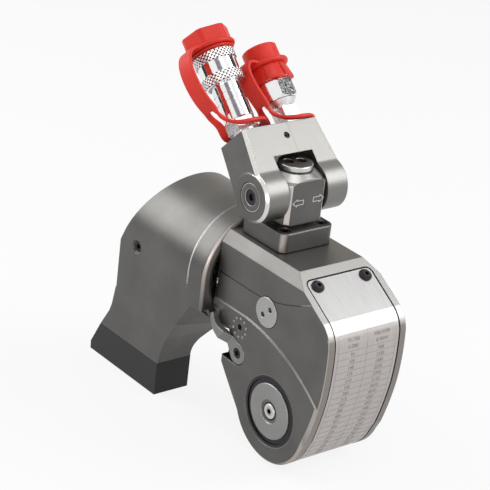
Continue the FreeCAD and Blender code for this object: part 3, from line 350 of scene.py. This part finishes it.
index_hole = (-0.0385, 0.043)
# Painted highlight: a bright ring over the dimples round the index hole.
index_dot_highlight = away(plating, *index_hole).within(0.0056, 0.0077) * sideways.within(-0.0332, -0.0322)
plating.tint(index_dot_highlight, (0.50, 0.49, 0.47))

pocket_middle = (-0.047, 0.026)
lever_pivot = (-0.0388, 0.0242)
pocket_away = away(plating, *pocket_middle)
# Painted shade: the walls of the lever pocket are coloured near black.
pocket_shade = sideways.within(-0.0320, -0.0200) * (pocket_away < 0.034) * (lengthwise < -0.030)
plating.tint(pocket_shade, (0.012, 0.011, 0.011))
# Painted shade: a black ring in the gap round the lever's pivot boss.
boss_gap_shade = away(plating, *lever_pivot).within(0.0076, 0.0084) * near_face * (lengthwise > -0.040)
plating.tint(boss_gap_shade, (0.012, 0.012, 0.012))

drive_away = away(plating, 0.0, 0.0)
# Painted shade: the housing inside the drive bore is coloured near black.
plating.tint((drive_away < 0.0255) * (sideways > -0.0325), (0.012, 0.012, 0.012))

# Painted highlight on the rounded front corners that turn to the near side.
front_corner_highlight = plating.range(facing_front * -1.0 * facing_side, 0.20, 0.32) * (upright < 0.072)
plating.tint(front_corner_highlight, (0.42, 0.38, 0.35))
# Painted highlight on the front-facing faces beside the shroud.
beside_shroud_highlight = (facing_front > 0.5) * (abs(sideways) > 0.0262) * (facing_up < 0.35)
plating.tint(beside_shroud_highlight, (0.27, 0.245, 0.225))
# Painted highlight on the faces that slope up to the front.
front_slope_highlight = (facing_front > 0.35) * (facing_up > 0.35) * (upright > 0.050)
plating.tint(front_slope_highlight, (0.34, 0.335, 0.32))
head_rear = -0.0679
# Painted light: the near side next to the arm is lightened against the shadow the collar casts there.
arm_shadow_lift = plating.range(lengthwise, head_rear, -0.0550, 0.9, 0.0) * (sideways < -0.0325) * (upright > 0.048)
plating.tint(arm_shadow_lift, (0.34, 0.33, 0.32))

# Painted shadow: a black line in the gap round the shroud.
corner_across = plating.range(abs(sideways), 0.0225, 0.0335, 0.0, 0.011)
corner_along = plating.range(lengthwise, 0.0022, 0.0142, 0.014, 0.0)
shroud_gap_shadow = apart(corner_along, corner_across).within(0.0040, 0.0050)
plating.tint(shroud_gap_shadow, (0.006, 0.006, 0.006))

# Painted shade: the worn edges along the upper relief step are darkened.
upper_edge_shade = upright.within(0.0665, 0.086) * (sideways < -0.0305) * (lengthwise < 0.014)
plating.tint(plating.rim * upper_edge_shade, (0.03, 0.03, 0.03))
# Painted highlight: the worn edges of the lower relief step are made nearly white.
lower_edge_highlight = upright.within(-0.020, 0.0640) * near_face * (drive_away > 0.0262) * (lengthwise < 0.0262)
plating.tint(plating.rim * lower_edge_highlight * (pocket_away > 0.030), (0.80, 0.79, 0.76))

access_hole = (-0.0151, 0.0645)
# Painted shade: a dark ring in the gap round the access plug.
plug_gap_shade = away(plating, *access_hole).within(0.0102, 0.0107) * near_face
plating.tint(plug_gap_shade, (0.02, 0.02, 0.02))

step_height = 0.0717
step_rise = 4.52
past_bend = plating.range(lengthwise, -0.0337, 0.0176, 0.0, 0.0513)
above_step = upright - past_bend * past_bend * step_rise - step_height
# Painted shade: a dark line along the curved relief step.
step_shade_line = above_step.within(-0.0003, 0.0003) * (sideways < -0.0310) * (lengthwise < 0.0165)
plating.tint(step_shade_line, (0.03, 0.03, 0.03))
# Painted shade: a black band at the head's rear, in the gap behind the arm's rim.
plating.tint(lengthwise.within(-0.0715, -0.0674), (0.01, 0.01, 0.01))
plating.on("housing")

# Reaction arm
# A forged and turned collar with its swept leg, plated as the housing is. The turned rim next
# to the housing has a painted highlight that fades towards its lower part, and the groove round the collar
# shines.
groove_x = -0.0841
groove_half = 0.0006
collar_z = 0.0646
arm_plating = Plated("arm_plating", plating_dark, plating_light)
arm_x, arm_y, arm_z = arm_plating.split(arm_plating.place())
arm_reach = apart(arm_y, arm_z - collar_z)
# Painted highlight on the turned rim, fading from the top of the collar towards its lower part.
arm_rim_highlight = (arm_x > -0.0697) * (arm_reach > 0.0385) * arm_plating.range(arm_z, 0.040, 0.085)
arm_plating.tint(arm_rim_highlight, (0.55, 0.49, 0.46), 0.06)
arm_groove = arm_x.within(groove_x - groove_half, groove_x + groove_half) * arm_reach.within(0.0400, 0.0444)
arm_plating.tint(arm_groove, (0.62, 0.60, 0.58), 0.06)
arm_plating.on("reaction_arm")

# Swivel base
# A square block screwed down on the head, a little darker, with a painted highlight on its rounded
# near corner and a painted contact shadow, black, along the joint with the head.
base_plating = Plated("base_plating", (0.085, 0.083, 0.079), (0.13, 0.127, 0.122), edge=0.0009)
base_front, base_side, _ = base_plating.facing()
# Painted highlight on the rounded near corner, chosen by the way it faces.
near_corner_highlight = base_plating.range(base_front * -1.0 * base_side, 0.25, 0.45)
base_plating.tint(near_corner_highlight, (0.42, 0.38, 0.355))
# Painted contact shadow: black along the joint with the head.
base_contact_shadow = base_plating.split(base_plating.place())[2] < 0.1009
base_plating.tint(base_contact_shadow, (0.008, 0.008, 0.008))
base_plating.on("swivel_base")

# Swivel post
# A square block journalled in the base, so that the hoses can leave to any side. Its four
# corners and its crown are turned smooth.
swivel_x = -0.042
shoulder_z = 0.1452
turned_reach = 0.0202
post_plating = Plated("post_plating", (0.105, 0.102, 0.098), (0.16, 0.155, 0.148))
post_x, post_y, post_z = post_plating.split(post_plating.place())
turned_corner = (apart(post_x - swivel_x, post_y) > turned_reach) * (post_z < shoulder_z)
post_plating.tint(turned_corner, (0.62, 0.56, 0.53), 0.06)
post_plating.tint(post_z > shoulder_z, (0.34, 0.335, 0.325), 0.04)
post_plating.on("swivel_post")

# Swivel yoke and pivot plugs
# The forked block over the post, its faces milled paler than the sides and its long bevels
# given a painted highlight, nearly bright. Round plugs close the cross bore in both ears, ringed
# by painted highlights on their edges and painted shade in the gap.
yoke_tilt = math.radians(46.0)
pivot = (swivel_x, 0.0, 0.1337)


def tilted(finish, across=0.0):
    """Coordinates along the couplers: out from the pivot to the front, across the yoke, and up."""
    turned = {"Location": (pivot[0], across, pivot[2]), "Rotation": (0.0, -yoke_tilt, 0.0)}
    spot = {"Vector": finish.place(), **turned}
    return finish.split(finish.add("ShaderNodeMapping", {"vector_type": "TEXTURE"}, spot))


yoke_plating = Plated("yoke_plating", (0.105, 0.103, 0.098), (0.16, 0.157, 0.15))
yoke_side = yoke_plating.facing()[1]
steepness = yoke_side * yoke_side
yoke_out, yoke_across, yoke_up = tilted(yoke_plating)
yoke_plating.tint(yoke_plating.range(steepness, 0.02, 0.10, 1.0, 0.0), (0.215, 0.213, 0.203))
ear_top = (yoke_out < 0.0105) * (yoke_up > 0.001)
# Painted highlight on the long bevels, chosen by the way they face.
bevel_highlight = yoke_plating.range(steepness, 0.25, 0.4) * (steepness < 0.75) * (1.0 - ear_top)
yoke_plating.tint(bevel_highlight, (0.72, 0.71, 0.68), 0.10)
cover_seam = yoke_across.within(0.00478, 0.00502) * (yoke_out > 0.0143) * (yoke_up > 0.0195)
yoke_plating.tint(cover_seam, (0.10, 0.10, 0.095))
pin_away = away(yoke_plating, pivot[0], pivot[2])
# Painted highlights on the plug's edges, and painted shade as a black ring in the gap round the plug.
for inner, outer, tone in (
    (0.0090, 0.0095, (0.60, 0.59, 0.57)),
    (0.0096, 0.0101, (0.03, 0.03, 0.03)),
    (0.0042, 0.0055, (0.70, 0.69, 0.67)),
):
    yoke_plating.tint(pin_away.within(inner, outer) * (abs(yoke_across) > 0.0335), tone)
yoke_plating.on("swivel_yoke", "pivot_plugs")

# Release lever and cylinder end plug
# Satin steel, lighter than the housing. The lever swings on its screw in a pocket of the
# near side, and the plug closes the cylinder behind the arm.
satin = Plated("turned_satin_steel", (0.20, 0.20, 0.195), (0.27, 0.27, 0.26), 0.34, worn=(0.6, 0.59, 0.57))
satin.on("release_lever", "cylinder_end_plug")

# Drive retainer
# A faced steel disc that holds the square in, dished round the button, with painted shade: black
# in the gap between the two and darker over the dish.
faced = Plated("faced_steel", (0.25, 0.25, 0.243), (0.33, 0.33, 0.32), 0.34, worn=(0.7, 0.69, 0.67))
disc_away = away(faced, 0.0, 0.0)
# Painted shade: black in the gap round the button, darker over the dish.
faced.tint(disc_away.within(0.0050, 0.0062), (0.02, 0.02, 0.02))
faced.tint(disc_away.within(0.0062, 0.0081), (0.16, 0.158, 0.152))
faced.on("drive_retainer")

# Release button
# A polished dome in the middle of the retainer, with a small centre hole painted black and
# painted shade round it. Pressed in, it lets go of the square.
dome = Plated("button_steel", (0.62, 0.61, 0.595), (0.74, 0.73, 0.71), 0.26, edge=0.0003)
centre_hole = 0.0016
dimple_edge = 0.0034
dome_away = away(dome, 0.0, 0.0)
# Painted shade: the centre hole is black and darkness fades out round it.
dome.tint(dome_away < centre_hole, (0.01, 0.01, 0.01))
dimple_shade = dome.range(dome_away, centre_hole, dimple_edge, 1.0, 0.0) * (dome_away > centre_hole)
dome.tint(dimple_shade, (0.22, 0.215, 0.21))
dome.on("release_button")

# Access plug
# A faced steel plug screwed into the side of the head with a pin spanner, paler than its
# surround.
plug_steel = Plated("plug_steel", (0.36, 0.36, 0.35), (0.43, 0.43, 0.42), 0.34, worn=(0.75, 0.74, 0.72))
plug_steel.on("access_plug")

# Post cap
# A dark oiled cap screwed on the post's top end with a pin spanner, its turned edge left
# bright.
cap_face = 0.0112
cap_steel = Plated("cap_steel", (0.10, 0.088, 0.080), (0.14, 0.125, 0.115), 0.34, worn=(0.7, 0.7, 0.68))
cap_x, cap_y, _ = cap_steel.split(cap_steel.place())
cap_steel.tint(apart(cap_x - swivel_x, cap_y) > cap_face, (0.62, 0.62, 0.60), 0.10)
cap_steel.on("post_cap")

# Front shroud
# A bright sheet of stainless, finely brushed along its length, bent over the front edge of
# the head and wrapped round the nose. Below the bend it is pinkish; above the bend it is painted
# darker, a painted shade against the glare on the slope.
bend_low = 0.068
bend_high = 0.076
sheet = Finish("brushed_stainless")
streak = sheet.noise(1400.0, 2.0, (0.03, 1.0, 0.03))
brushed = sheet.range(streak, 0.3, 0.7)
# Above the bend the colour is darker: painted shade against the glare on the slope.
sheet.surface(
    Base_Color=sheet.mix(
        sheet.range(sheet.split(sheet.place())[2], bend_low, bend_high),
        sheet.mix(brushed, (0.47, 0.435, 0.42), (0.53, 0.495, 0.48)),
        sheet.mix(brushed, (0.37, 0.367, 0.362), (0.44, 0.437, 0.432))),
    Metallic=0.85,
    Roughness=sheet.range(streak, 0.2, 0.8, 0.30, 0.40),
    Normal=sheet.bump(streak, 0.08, 0.00004),
)
sheet.on("front_shroud")

# Chart on the front shroud
# A pressure table printed straight on the steel: ruled rows in two columns of plain
# numbers, wrapped down the front and round the nose. Its sizes are in millimetres.
chart_path = [
    (37.5, 79.9), (43.3, 73.8), (46.1, 66.0), (46.7, 50.0), (45.4, 30.0), (42.2, 13.5), (37.0, -5.0),
    (33.4, -12.1), (30.7, -17.7), (27.2, -22.8), (20.4, -29.1)]
chart_half = 24.0
chart_top = 10.0
header_height = 11.5
row_pitch = 4.7
row_count = 19
line_half = 0.13
column_middle = 12.0
first_pressure = 70
pressure_step = 35
torque_per_pressure = 12.86
chart_lift = 0.06


def rule(shape, y0, s0, y1, s1):
    """A printed line on the flat chart: across in y, down in s."""
    steps = max(1, int(abs(s1 - s0) / 3.0))
    for step in range(steps):
        low = s0 + (s1 - s0) * step / steps
        high = s0 + (s1 - s0) * (step + 1) / steps
        made = bmesh.ops.create_grid(shape, x_segments=1, y_segments=1, size=0.5)["verts"]
        bmesh.ops.scale(shape, verts=made, vec=(y1 - y0, high - low, 1.0))
        bmesh.ops.translate(shape, verts=made, vec=((y0 + y1) / 2, (low + high) / 2, 0.0))


def figures(shape, text, y, s, height):
    """Plain numbers on the flat chart, centred on y with their foot at s."""
    letters = bpy.data.curves.new("figures", "FONT")
    letters.body = text
    letters.size = height * 1.38
    letters.align_x = "CENTER"
    letters.resolution_u = 2
    holder = bpy.data.objects.new("figures", letters)
    bpy.context.scene.collection.objects.link(holder)
    mesh = bpy.data.meshes.new_from_object(holder.evaluated_get(bpy.context.evaluated_depsgraph_get()))
    bpy.data.objects.remove(holder)
    before = set(shape.verts)
    shape.from_mesh(mesh)
    fresh = [point for point in shape.verts if point not in before]
    bmesh.ops.scale(shape, verts=fresh, vec=(1.0, -1.0, 1.0))
    bmesh.ops.translate(shape, verts=fresh, vec=(y, s, 0.0))


def print_chart(shape, name, finish):
    """Lay the flat chart on the shroud, a hair proud of the steel."""
    steel = BVHTree.FromObject(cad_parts["front_shroud"], bpy.context.evaluated_depsgraph_get())
    for point in shape.verts:
        y, left = point.co.x, point.co.y
        for (x0, z0), (x1, z1) in zip(chart_path, chart_path[1:]):
            run = math.hypot(x1 - x0, z1 - z0)
            if left <= run or (x1, z1) == chart_path[-1]:
                break
            left -= run
        place = Vector((x0 + (x1 - x0) * left / run, y, z0 + (z1 - z0) * left / run)) / 1000.0
        out = Vector((z0 - z1, 0.0, x1 - x0)).normalized()
        spot = steel.ray_cast(place + out * 0.004, -out)[0]
        point.co = spot + out * chart_lift / 1000.0
    bmesh.ops.recalc_face_normals(shape, faces=shape.faces)
    for face in shape.faces:
        if face.normal.x < 0:
            face.normal_flip()
    piece = finished(shape, name, finish)
    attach(piece, "tool")


def ink(name, dark, light):
    finish = Finish(name)
    worn = finish.range(finish.noise(260.0, 4.0), 0.35, 0.65)
    finish.surface(Base_Color=finish.mix(worn, dark, light), Metallic=0.5, Roughness=0.45)
    return finish


lines = bmesh.new()
header_foot = chart_top + header_height
rule(lines, -chart_half, chart_top - 0.2, chart_half, chart_top + 0.2)
for row in range(row_count + 1):
    level = header_foot + row_pitch * row
    rule(lines, -chart_half, level - line_half, chart_half, level + line_half)
for column in (-chart_half, 0.0, chart_half):
    rule(lines, column - line_half, chart_top, column + line_half, header_foot + row_pitch * row_count)
print_chart(lines, "chart_lines", ink("chart_line_ink", (0.30, 0.26, 0.25), (0.38, 0.335, 0.325)))

numbers = bmesh.new()
for text, column, drop in (
    ("70-700", -column_middle, 5.0), ("0-700", -column_middle, 9.6),
    ("900-9000", column_middle, 5.0), ("0-9000", column_middle, 9.6),
):
    figures(numbers, text, column, chart_top + drop, 2.6)
for row in range(row_count):
    level = header_foot + row_pitch * (row + 1) - 1.0
    pressure = first_pressure + pressure_step * row
    figures(numbers, str(pressure), -column_middle, level, 2.5)
    figures(numbers, str(int(pressure * torque_per_pressure)), column_middle, level, 2.5)
print_chart(numbers, "chart_numbers", ink("chart_number_ink", (0.22, 0.15, 0.125), (0.33, 0.25, 0.22)))

# Flow arrows on the swivel post
# Two outline arrows etched pale into the face of the post, one each way. Their sizes are in
# millimetres.
post_face_x = -26.4
arrow_half = 4.6
arrow_neck = 0.6
arrow_barb = 2.9
arrow_shaft = 1.7
arrow_line = 0.42
etch = Finish("etched_mark")
frost = etch.noise(3000.0, 2.0)
etch.surface(Base_Color=etch.mix(frost, (0.62, 0.60, 0.59), (0.85, 0.83, 0.82)), Metallic=0.2, Roughness=0.5)


def arrow(name, centre_y, centre_z, way):
    """A block arrow, its outline left standing and its middle taken out."""
    upper = [(arrow_neck, arrow_barb), (arrow_neck, arrow_shaft), (-arrow_half, arrow_shaft)]
    lower = [(y, -z) for y, z in reversed(upper)]
    shape = bmesh.new()
    face = shape.faces.new([
        shape.verts.new(Vector((post_face_x, centre_y + way * y, centre_z + z)) / 1000.0)
        for y, z in [(arrow_half, 0.0), *upper, *lower]])
    shape.normal_update()
    if face.normal.x < 0:
        face.normal_flip()
    bmesh.ops.inset_region(shape, faces=[face], thickness=arrow_line / 1000.0, use_boundary=True,
                           use_even_offset=True)
    bmesh.ops.delete(shape, geom=[face], context="FACES_ONLY")
    piece = finished(shape, name, etch)
    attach(piece, "post")


arrow("arrow_near", -7.6, 131.4, -1.0)
arrow("arrow_far", 9.4, 131.8, 1.0)

# Black screws and ratchet wheel
# Heat-blackened steel, oily and a little shiny, dulled in patches. The screws have hexagon
# sockets, and hold the shroud, the base, the levers and the pivots.
blacked = Finish("black_oxide")
patch = blacked.noise(700.0, 3.0)
blacked.surface(
    Base_Color=blacked.mix(patch, (0.012, 0.011, 0.013), (0.045, 0.038, 0.043)),
    Metallic=0.7,
    Roughness=blacked.range(patch, 0.3, 0.7, 0.24, 0.42),
)
blacked.on("shroud_screws", "index_screw", "arm_screw", "lever_screw", "yoke_set_screw", "swivel_base_screws",
           "pivot_screws", "ratchet_wheel")

# Drive bushings
# Black bearing rings pressed into both sides of the head, turned with a lip and a groove and
# oily between the two, with painted highlights on the lip's edges and painted shade, near
# black, in the groove and the bore.
bushing_black = Finish("turned_bushing")
oil = bushing_black.noise(900.0, 3.0)
ring_away = away(bushing_black, 0.0, 0.0)
# Painted highlights on the lip's edges, and painted shade in the groove and the bore.
lip_highlight = ring_away.within(0.0212, 0.0217) + ring_away.within(0.0240, 0.0245)
groove_shade = (ring_away < 0.0206) + ring_away.within(0.0217, 0.0224)
oily = bushing_black.mix(oil, (0.020, 0.019, 0.020), (0.050, 0.046, 0.050))
with_groove_shade = bushing_black.mix(groove_shade, oily, (0.004, 0.004, 0.004))
bushing_black.surface(
    Base_Color=bushing_black.mix(lip_highlight, with_groove_shade, (0.20, 0.19, 0.19)),
    Metallic=0.7,
    Roughness=bushing_black.range(oil, 0.3, 0.7, 0.26, 0.40),
)
bushing_black.on("bushing_near", "bushing_far")

# Drive square, levers, pawls and piston
# Ground steel, bright, with the wheel's scratches running across the tool. All but the
# square and its ball works out of sight.
ground = Finish("ground_steel")
scratch = ground.noise(1800.0, 2.0, (1.0, 0.1, 1.0))
ground.surface(
    Base_Color=ground.mix(scratch, (0.48, 0.48, 0.47), (0.60, 0.60, 0.59)),
    Metallic=1.0,
    Roughness=ground.range(scratch, 0.2, 0.8, 0.25, 0.38),
)
ground.on("square_drive", "detent_ball", "button_spring", "piston", "piston_rod", "rod_pin", "rod_gland",
          "drive_levers", "drive_pawl_pin", "drive_pawls", "reaction_pawl", "pawl_shaft", "pivot_tube",
          "female_poppet", "male_poppet")

# Coupler bodies
# Steel turned from bar, plated bright and polished enough to mirror the caps beside it,
# screwed on the adapters.
chrome = Finish("bright_plating")
haze = chrome.noise(500.0, 3.0)
chrome.surface(
    Base_Color=chrome.mix(haze, (0.80, 0.80, 0.81), (0.88, 0.88, 0.88)),
    Metallic=1.0,
    Roughness=chrome.range(haze, 0.3, 0.7, 0.07, 0.15),
)
chrome.on("female_body", "male_body")

# Coupler adapters
# Hexagon nipples screwed into the yoke, zinc plated and duller than the couplers.
zinc = Finish("satin_zinc")
zinc_haze = zinc.noise(700.0, 3.0)
zinc.surface(
    Base_Color=zinc.mix(zinc_haze, (0.72, 0.71, 0.71), (0.84, 0.83, 0.83)),
    Metallic=1.0,
    Roughness=zinc.range(zinc_haze, 0.3, 0.7, 0.24, 0.34),
)
zinc.on("female_adapter", "male_adapter")

# Sleeve of the female coupler
# The same bright plating, with a diamond knurl rolled round each end for grip and painted shade
# in its roots. It turns on the body to lock the hose on.
coupler_across = 0.0188
knurl_teeth = 30.0
knurl_pitch = 2300.0
knurled = Finish("knurled_plating")
sleeve_x, sleeve_y, sleeve_up = tilted(knurled, -coupler_across)
round_angle = sleeve_y.reckon("ARCTAN2", sleeve_x)
rolled = sleeve_up.within(0.0774, 0.0837) + sleeve_up.within(0.0925, 0.0988)
teeth = (round_angle * knurl_teeth).reckon("COSINE") * (sleeve_up * knurl_pitch).reckon("COSINE")
# Painted shade in the roots of the knurl.
root_shade = rolled * knurled.range(teeth, -0.5, 0.2, 1.0, 0.0)
smear = knurled.noise(500.0, 3.0)
knurled.surface(
    Base_Color=knurled.mix(root_shade, (0.88, 0.88, 0.88), (0.10, 0.095, 0.095)),
    Metallic=1.0,
    Roughness=knurled.range(smear, 0.3, 0.7, 0.07, 0.15) + rolled * 0.12,
    Normal=knurled.bump(rolled * teeth, 0.9, 0.0003),
)
knurled.on("female_sleeve")

# Seals
# Black rubber rings on the piston, the rod, the end plug and the swivel post, all out of
# sight in their grooves.
seal = Finish("seal_rubber")
seal.surface(Base_Color=(0.015, 0.015, 0.015), Roughness=0.5)
seal.on("end_plug_seal", "rod_seal", "piston_seal", "swivel_seal")

# Reaction pad
# A black phosphated block fixed under the arm, where it pushes on the next nut, dull and
# very slightly mottled.
dull_black = Finish("black_phosphate")
mottle = dull_black.noise(1500.0, 3.0)
dull_black.surface(
    Base_Color=dull_black.mix(mottle, (0.012, 0.012, 0.013), (0.026, 0.026, 0.028)),
    Metallic=0.2,
    Roughness=0.55,
    Normal=dull_black.bump(mottle, 0.2, 0.00006),
)
dull_black.on("reaction_pad")

# Dust caps
# Soft rubber in signal red, moulded with finger grips, smooth with a dull shine, and pressed
# over the couplers.
red = Finish("red_rubber")
soft = red.noise(220.0, 3.0)
red_normal = soft_edge(red, 0.0006)[0]
red.surface(
    Base_Color=red.mix(soft, (0.64, 0.024, 0.014), (0.72, 0.036, 0.020)),
    Roughness=red.range(soft, 0.3, 0.7, 0.40, 0.50),
    Specular_IOR_Level=0.32,
    Normal=red.bump(soft, 0.15, 0.0001, red_normal),
)
red.on("female_dust_cap", "male_dust_cap", "female_cap_strap", "male_cap_strap")

# Dust cap straps
# Each strap is moulded in one with its two rings: a thick ring snapped in the groove of
# the cap, a flat band that bows out beside the coupler, and a loop lying round the adapter.
# The places are millimetres from the pivot, along the couplers.
coupler_frame = Matrix.Translation(pivot) @ Matrix.Rotation(-yoke_tilt, 4, "Y")
strap_thick = 0.0024
rim_radius = 0.0007


def start_rung(shape, row):
    """A row of joined points, to be drawn on into a band."""
    rung = [shape.verts.new(place) for place in row]
    for pair in zip(rung, rung[1:]):
        shape.edges.new(pair)
    return rung


def pull(shape, rung, rows):
    """Draw a row of joined points on through the given rows, and return the last row."""
    for row in rows:
        edges = [shape.edges.get(pair) for pair in zip(rung, rung[1:])]
        made = bmesh.ops.extrude_edge_only(shape, edges=edges)["geom"]
        fresh = [part for part in made if isinstance(part, bmesh.types.BMVert)]
        rung = [min(fresh, key=lambda point: (point.co - old.co).length) for old in rung]
        for point, place in zip(rung, row):
            point.co = place
    return rung


def moulded(shape, name, axis_y):
    """A smooth red piece from a shape drawn about a coupler's axis."""
    bmesh.ops.recalc_face_normals(shape, faces=shape.faces)
    bmesh.ops.transform(shape, matrix=coupler_frame @ Matrix.Translation((0, axis_y, 0)), verts=shape.verts)
    for face in shape.faces:
        face.smooth = True
    return finished(shape, name, red)


def soften(piece):
    smooth = piece.modifiers.new("smooth", "SUBSURF")
    smooth.levels = smooth.render_levels = 2


def strap(name, node, axis_y, turn, band, loop):
    """band: (reach, height, half width); loop: (x, y, height, half width) along each of its legs."""
    side = Vector((math.cos(turn), math.sin(turn), 0.0))
    across = Vector((-side.y, side.x, 0.0))
    shape = bmesh.new()

    def band_row(reach, height, half):
        centre = side * reach + Vector((0, 0, height))
        return [(centre + across * shift * half) / 1000.0 for shift in (-1.0, -0.27, 0.27, 1.0)]

    def loop_row(x, y, height, half):
        centre = Vector((x, y, height))
        out = Vector((x, y, 0.0)).normalized()
        return [(centre + out * half) / 1000.0, (centre - out * half) / 1000.0]

    rows = [band_row(*place) for place in band]
    rung = pull(shape, start_rung(shape, rows[0]), rows[1:])
    for leg, places in (((rung[0], rung[1]), loop[0]), ((rung[3], rung[2]), loop[1])):
        pull(shape, leg, [loop_row(*place) for place in places])
    bmesh.ops.remove_doubles(shape, verts=shape.verts, dist=0.0001)
    piece = moulded(shape, name, axis_y)
    wall = piece.modifiers.new("wall", "SOLIDIFY")
    wall.thickness = strap_thick
    wall.offset = 0.0
    soft_rim = piece.modifiers.new("soft_rim", "BEVEL")
    soft_rim.width = rim_radius
    soft_rim.segments = 2
    soft_rim.angle_limit = math.radians(50.0)
    soften(piece)
    final = bpy.data.meshes.new_from_object(piece.evaluated_get(bpy.context.evaluated_depsgraph_get()))
    piece.modifiers.clear()
    piece.data = final
    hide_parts(node)
    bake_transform(piece)


def collar(name, axis_y, inner, outer, low, high, cap_body):
    """The thick ring in the cap's groove: a rounded bar spun round the coupler's axis."""
    bulge = (high - low) * 0.28
    profile = [(inner, low), (outer - bulge, low), (outer, low + bulge), (outer, high - bulge),
               (outer - bulge, high), (inner, high)]
    shape = bmesh.new()
    rung = start_rung(shape, [Vector((reach, 0, height)) / 1000.0 for reach, height in profile])
    shape.edges.new((rung[-1], rung[0]))
    bmesh.ops.spin(shape, geom=shape.edges[:], axis=(0, 0, 1), cent=(0, 0, 0), angle=math.tau, steps=64,
                   use_merge=True)
    bmesh.ops.remove_doubles(shape, verts=shape.verts, dist=0.00001)
    piece = moulded(shape, name, axis_y)
    soften(piece)
    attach(piece, cap_body)


female_band = [
    (15.0, 103.0, 8.5), (18.0, 103.4, 7.2), (22.0, 102.2, 6.4), (25.2, 98.6, 6.2), (27.2, 93.0, 6.2),
    (27.8, 86.0, 6.2), (27.4, 79.0, 6.2), (26.2, 72.5, 6.2), (24.0, 66.0, 6.2), (20.8, 60.3, 6.2)]
female_loop = (
    [(-4.0, -18.2, 58.0, 2.7), (-4.5, -14.8, 54.8, 2.8), (-5.4, -11.8, 50.8, 2.8), (-7.2, -10.8, 46.4, 2.7),
     (-11.4, -6.2, 43.8, 2.5), (-13.4, 2.0, 43.8, 2.5), (-10.6, 9.0, 44.8, 2.5), (-5.0, 13.2, 45.4, 2.5),
     (2.0, 14.4, 45.8, 2.5)],
    [(5.4, -17.4, 54.8, 3.0), (8.4, -14.1, 49.2, 3.0), (12.2, -9.6, 46.4, 2.5), (14.2, -3.0, 45.8, 2.5),
     (13.6, 4.4, 46.2, 2.5), (10.4, 10.0, 46.2, 2.5), (6.2, 13.2, 46.0, 2.5), (2.0, 14.4, 45.8, 2.5)])
male_band = [
    (13.6, 85.9, 8.5), (17.0, 87.4, 8.2), (20.2, 87.2, 7.4), (22.0, 84.4, 6.6), (22.3, 79.0, 6.2),
    (21.6, 71.5, 6.2), (19.8, 64.5, 6.2), (17.2, 57.6, 6.2)]
male_loop = (
    [(-4.0, -15.6, 54.2, 2.7), (-5.2, -13.2, 50.4, 2.8), (-8.2, -11.6, 45.6, 2.7), (-13.0, -6.0, 42.6, 2.5),
     (-14.4, 2.0, 42.2, 2.5), (-10.6, 10.4, 42.2, 2.5), (-4.0, 14.6, 42.2, 2.5), (3.4, 15.2, 42.2, 2.5)],
    [(5.6, -15.4, 51.8, 3.0), (9.2, -13.4, 46.4, 2.9), (13.6, -8.0, 43.0, 2.5), (15.4, -1.0, 42.2, 2.5),
     (14.4, 6.0, 42.2, 2.5), (10.0, 12.0, 42.2, 2.5), (3.4, 15.2, 42.2, 2.5)])
female_ring_low = 101.6
male_ring_low = 83.8
strap("female_strap_band", "female_cap_strap", -coupler_across, math.radians(277.0), female_band, female_loop)
collar("female_strap_ring", -coupler_across, 13.4, 16.8, female_ring_low, 105.0, "female_cap")
strap("male_strap_band", "male_cap_strap", coupler_across, math.radians(278.0), male_band, male_loop)
collar("male_strap_ring", coupler_across, 11.0, 15.6, male_ring_low, 87.6, "male_cap")
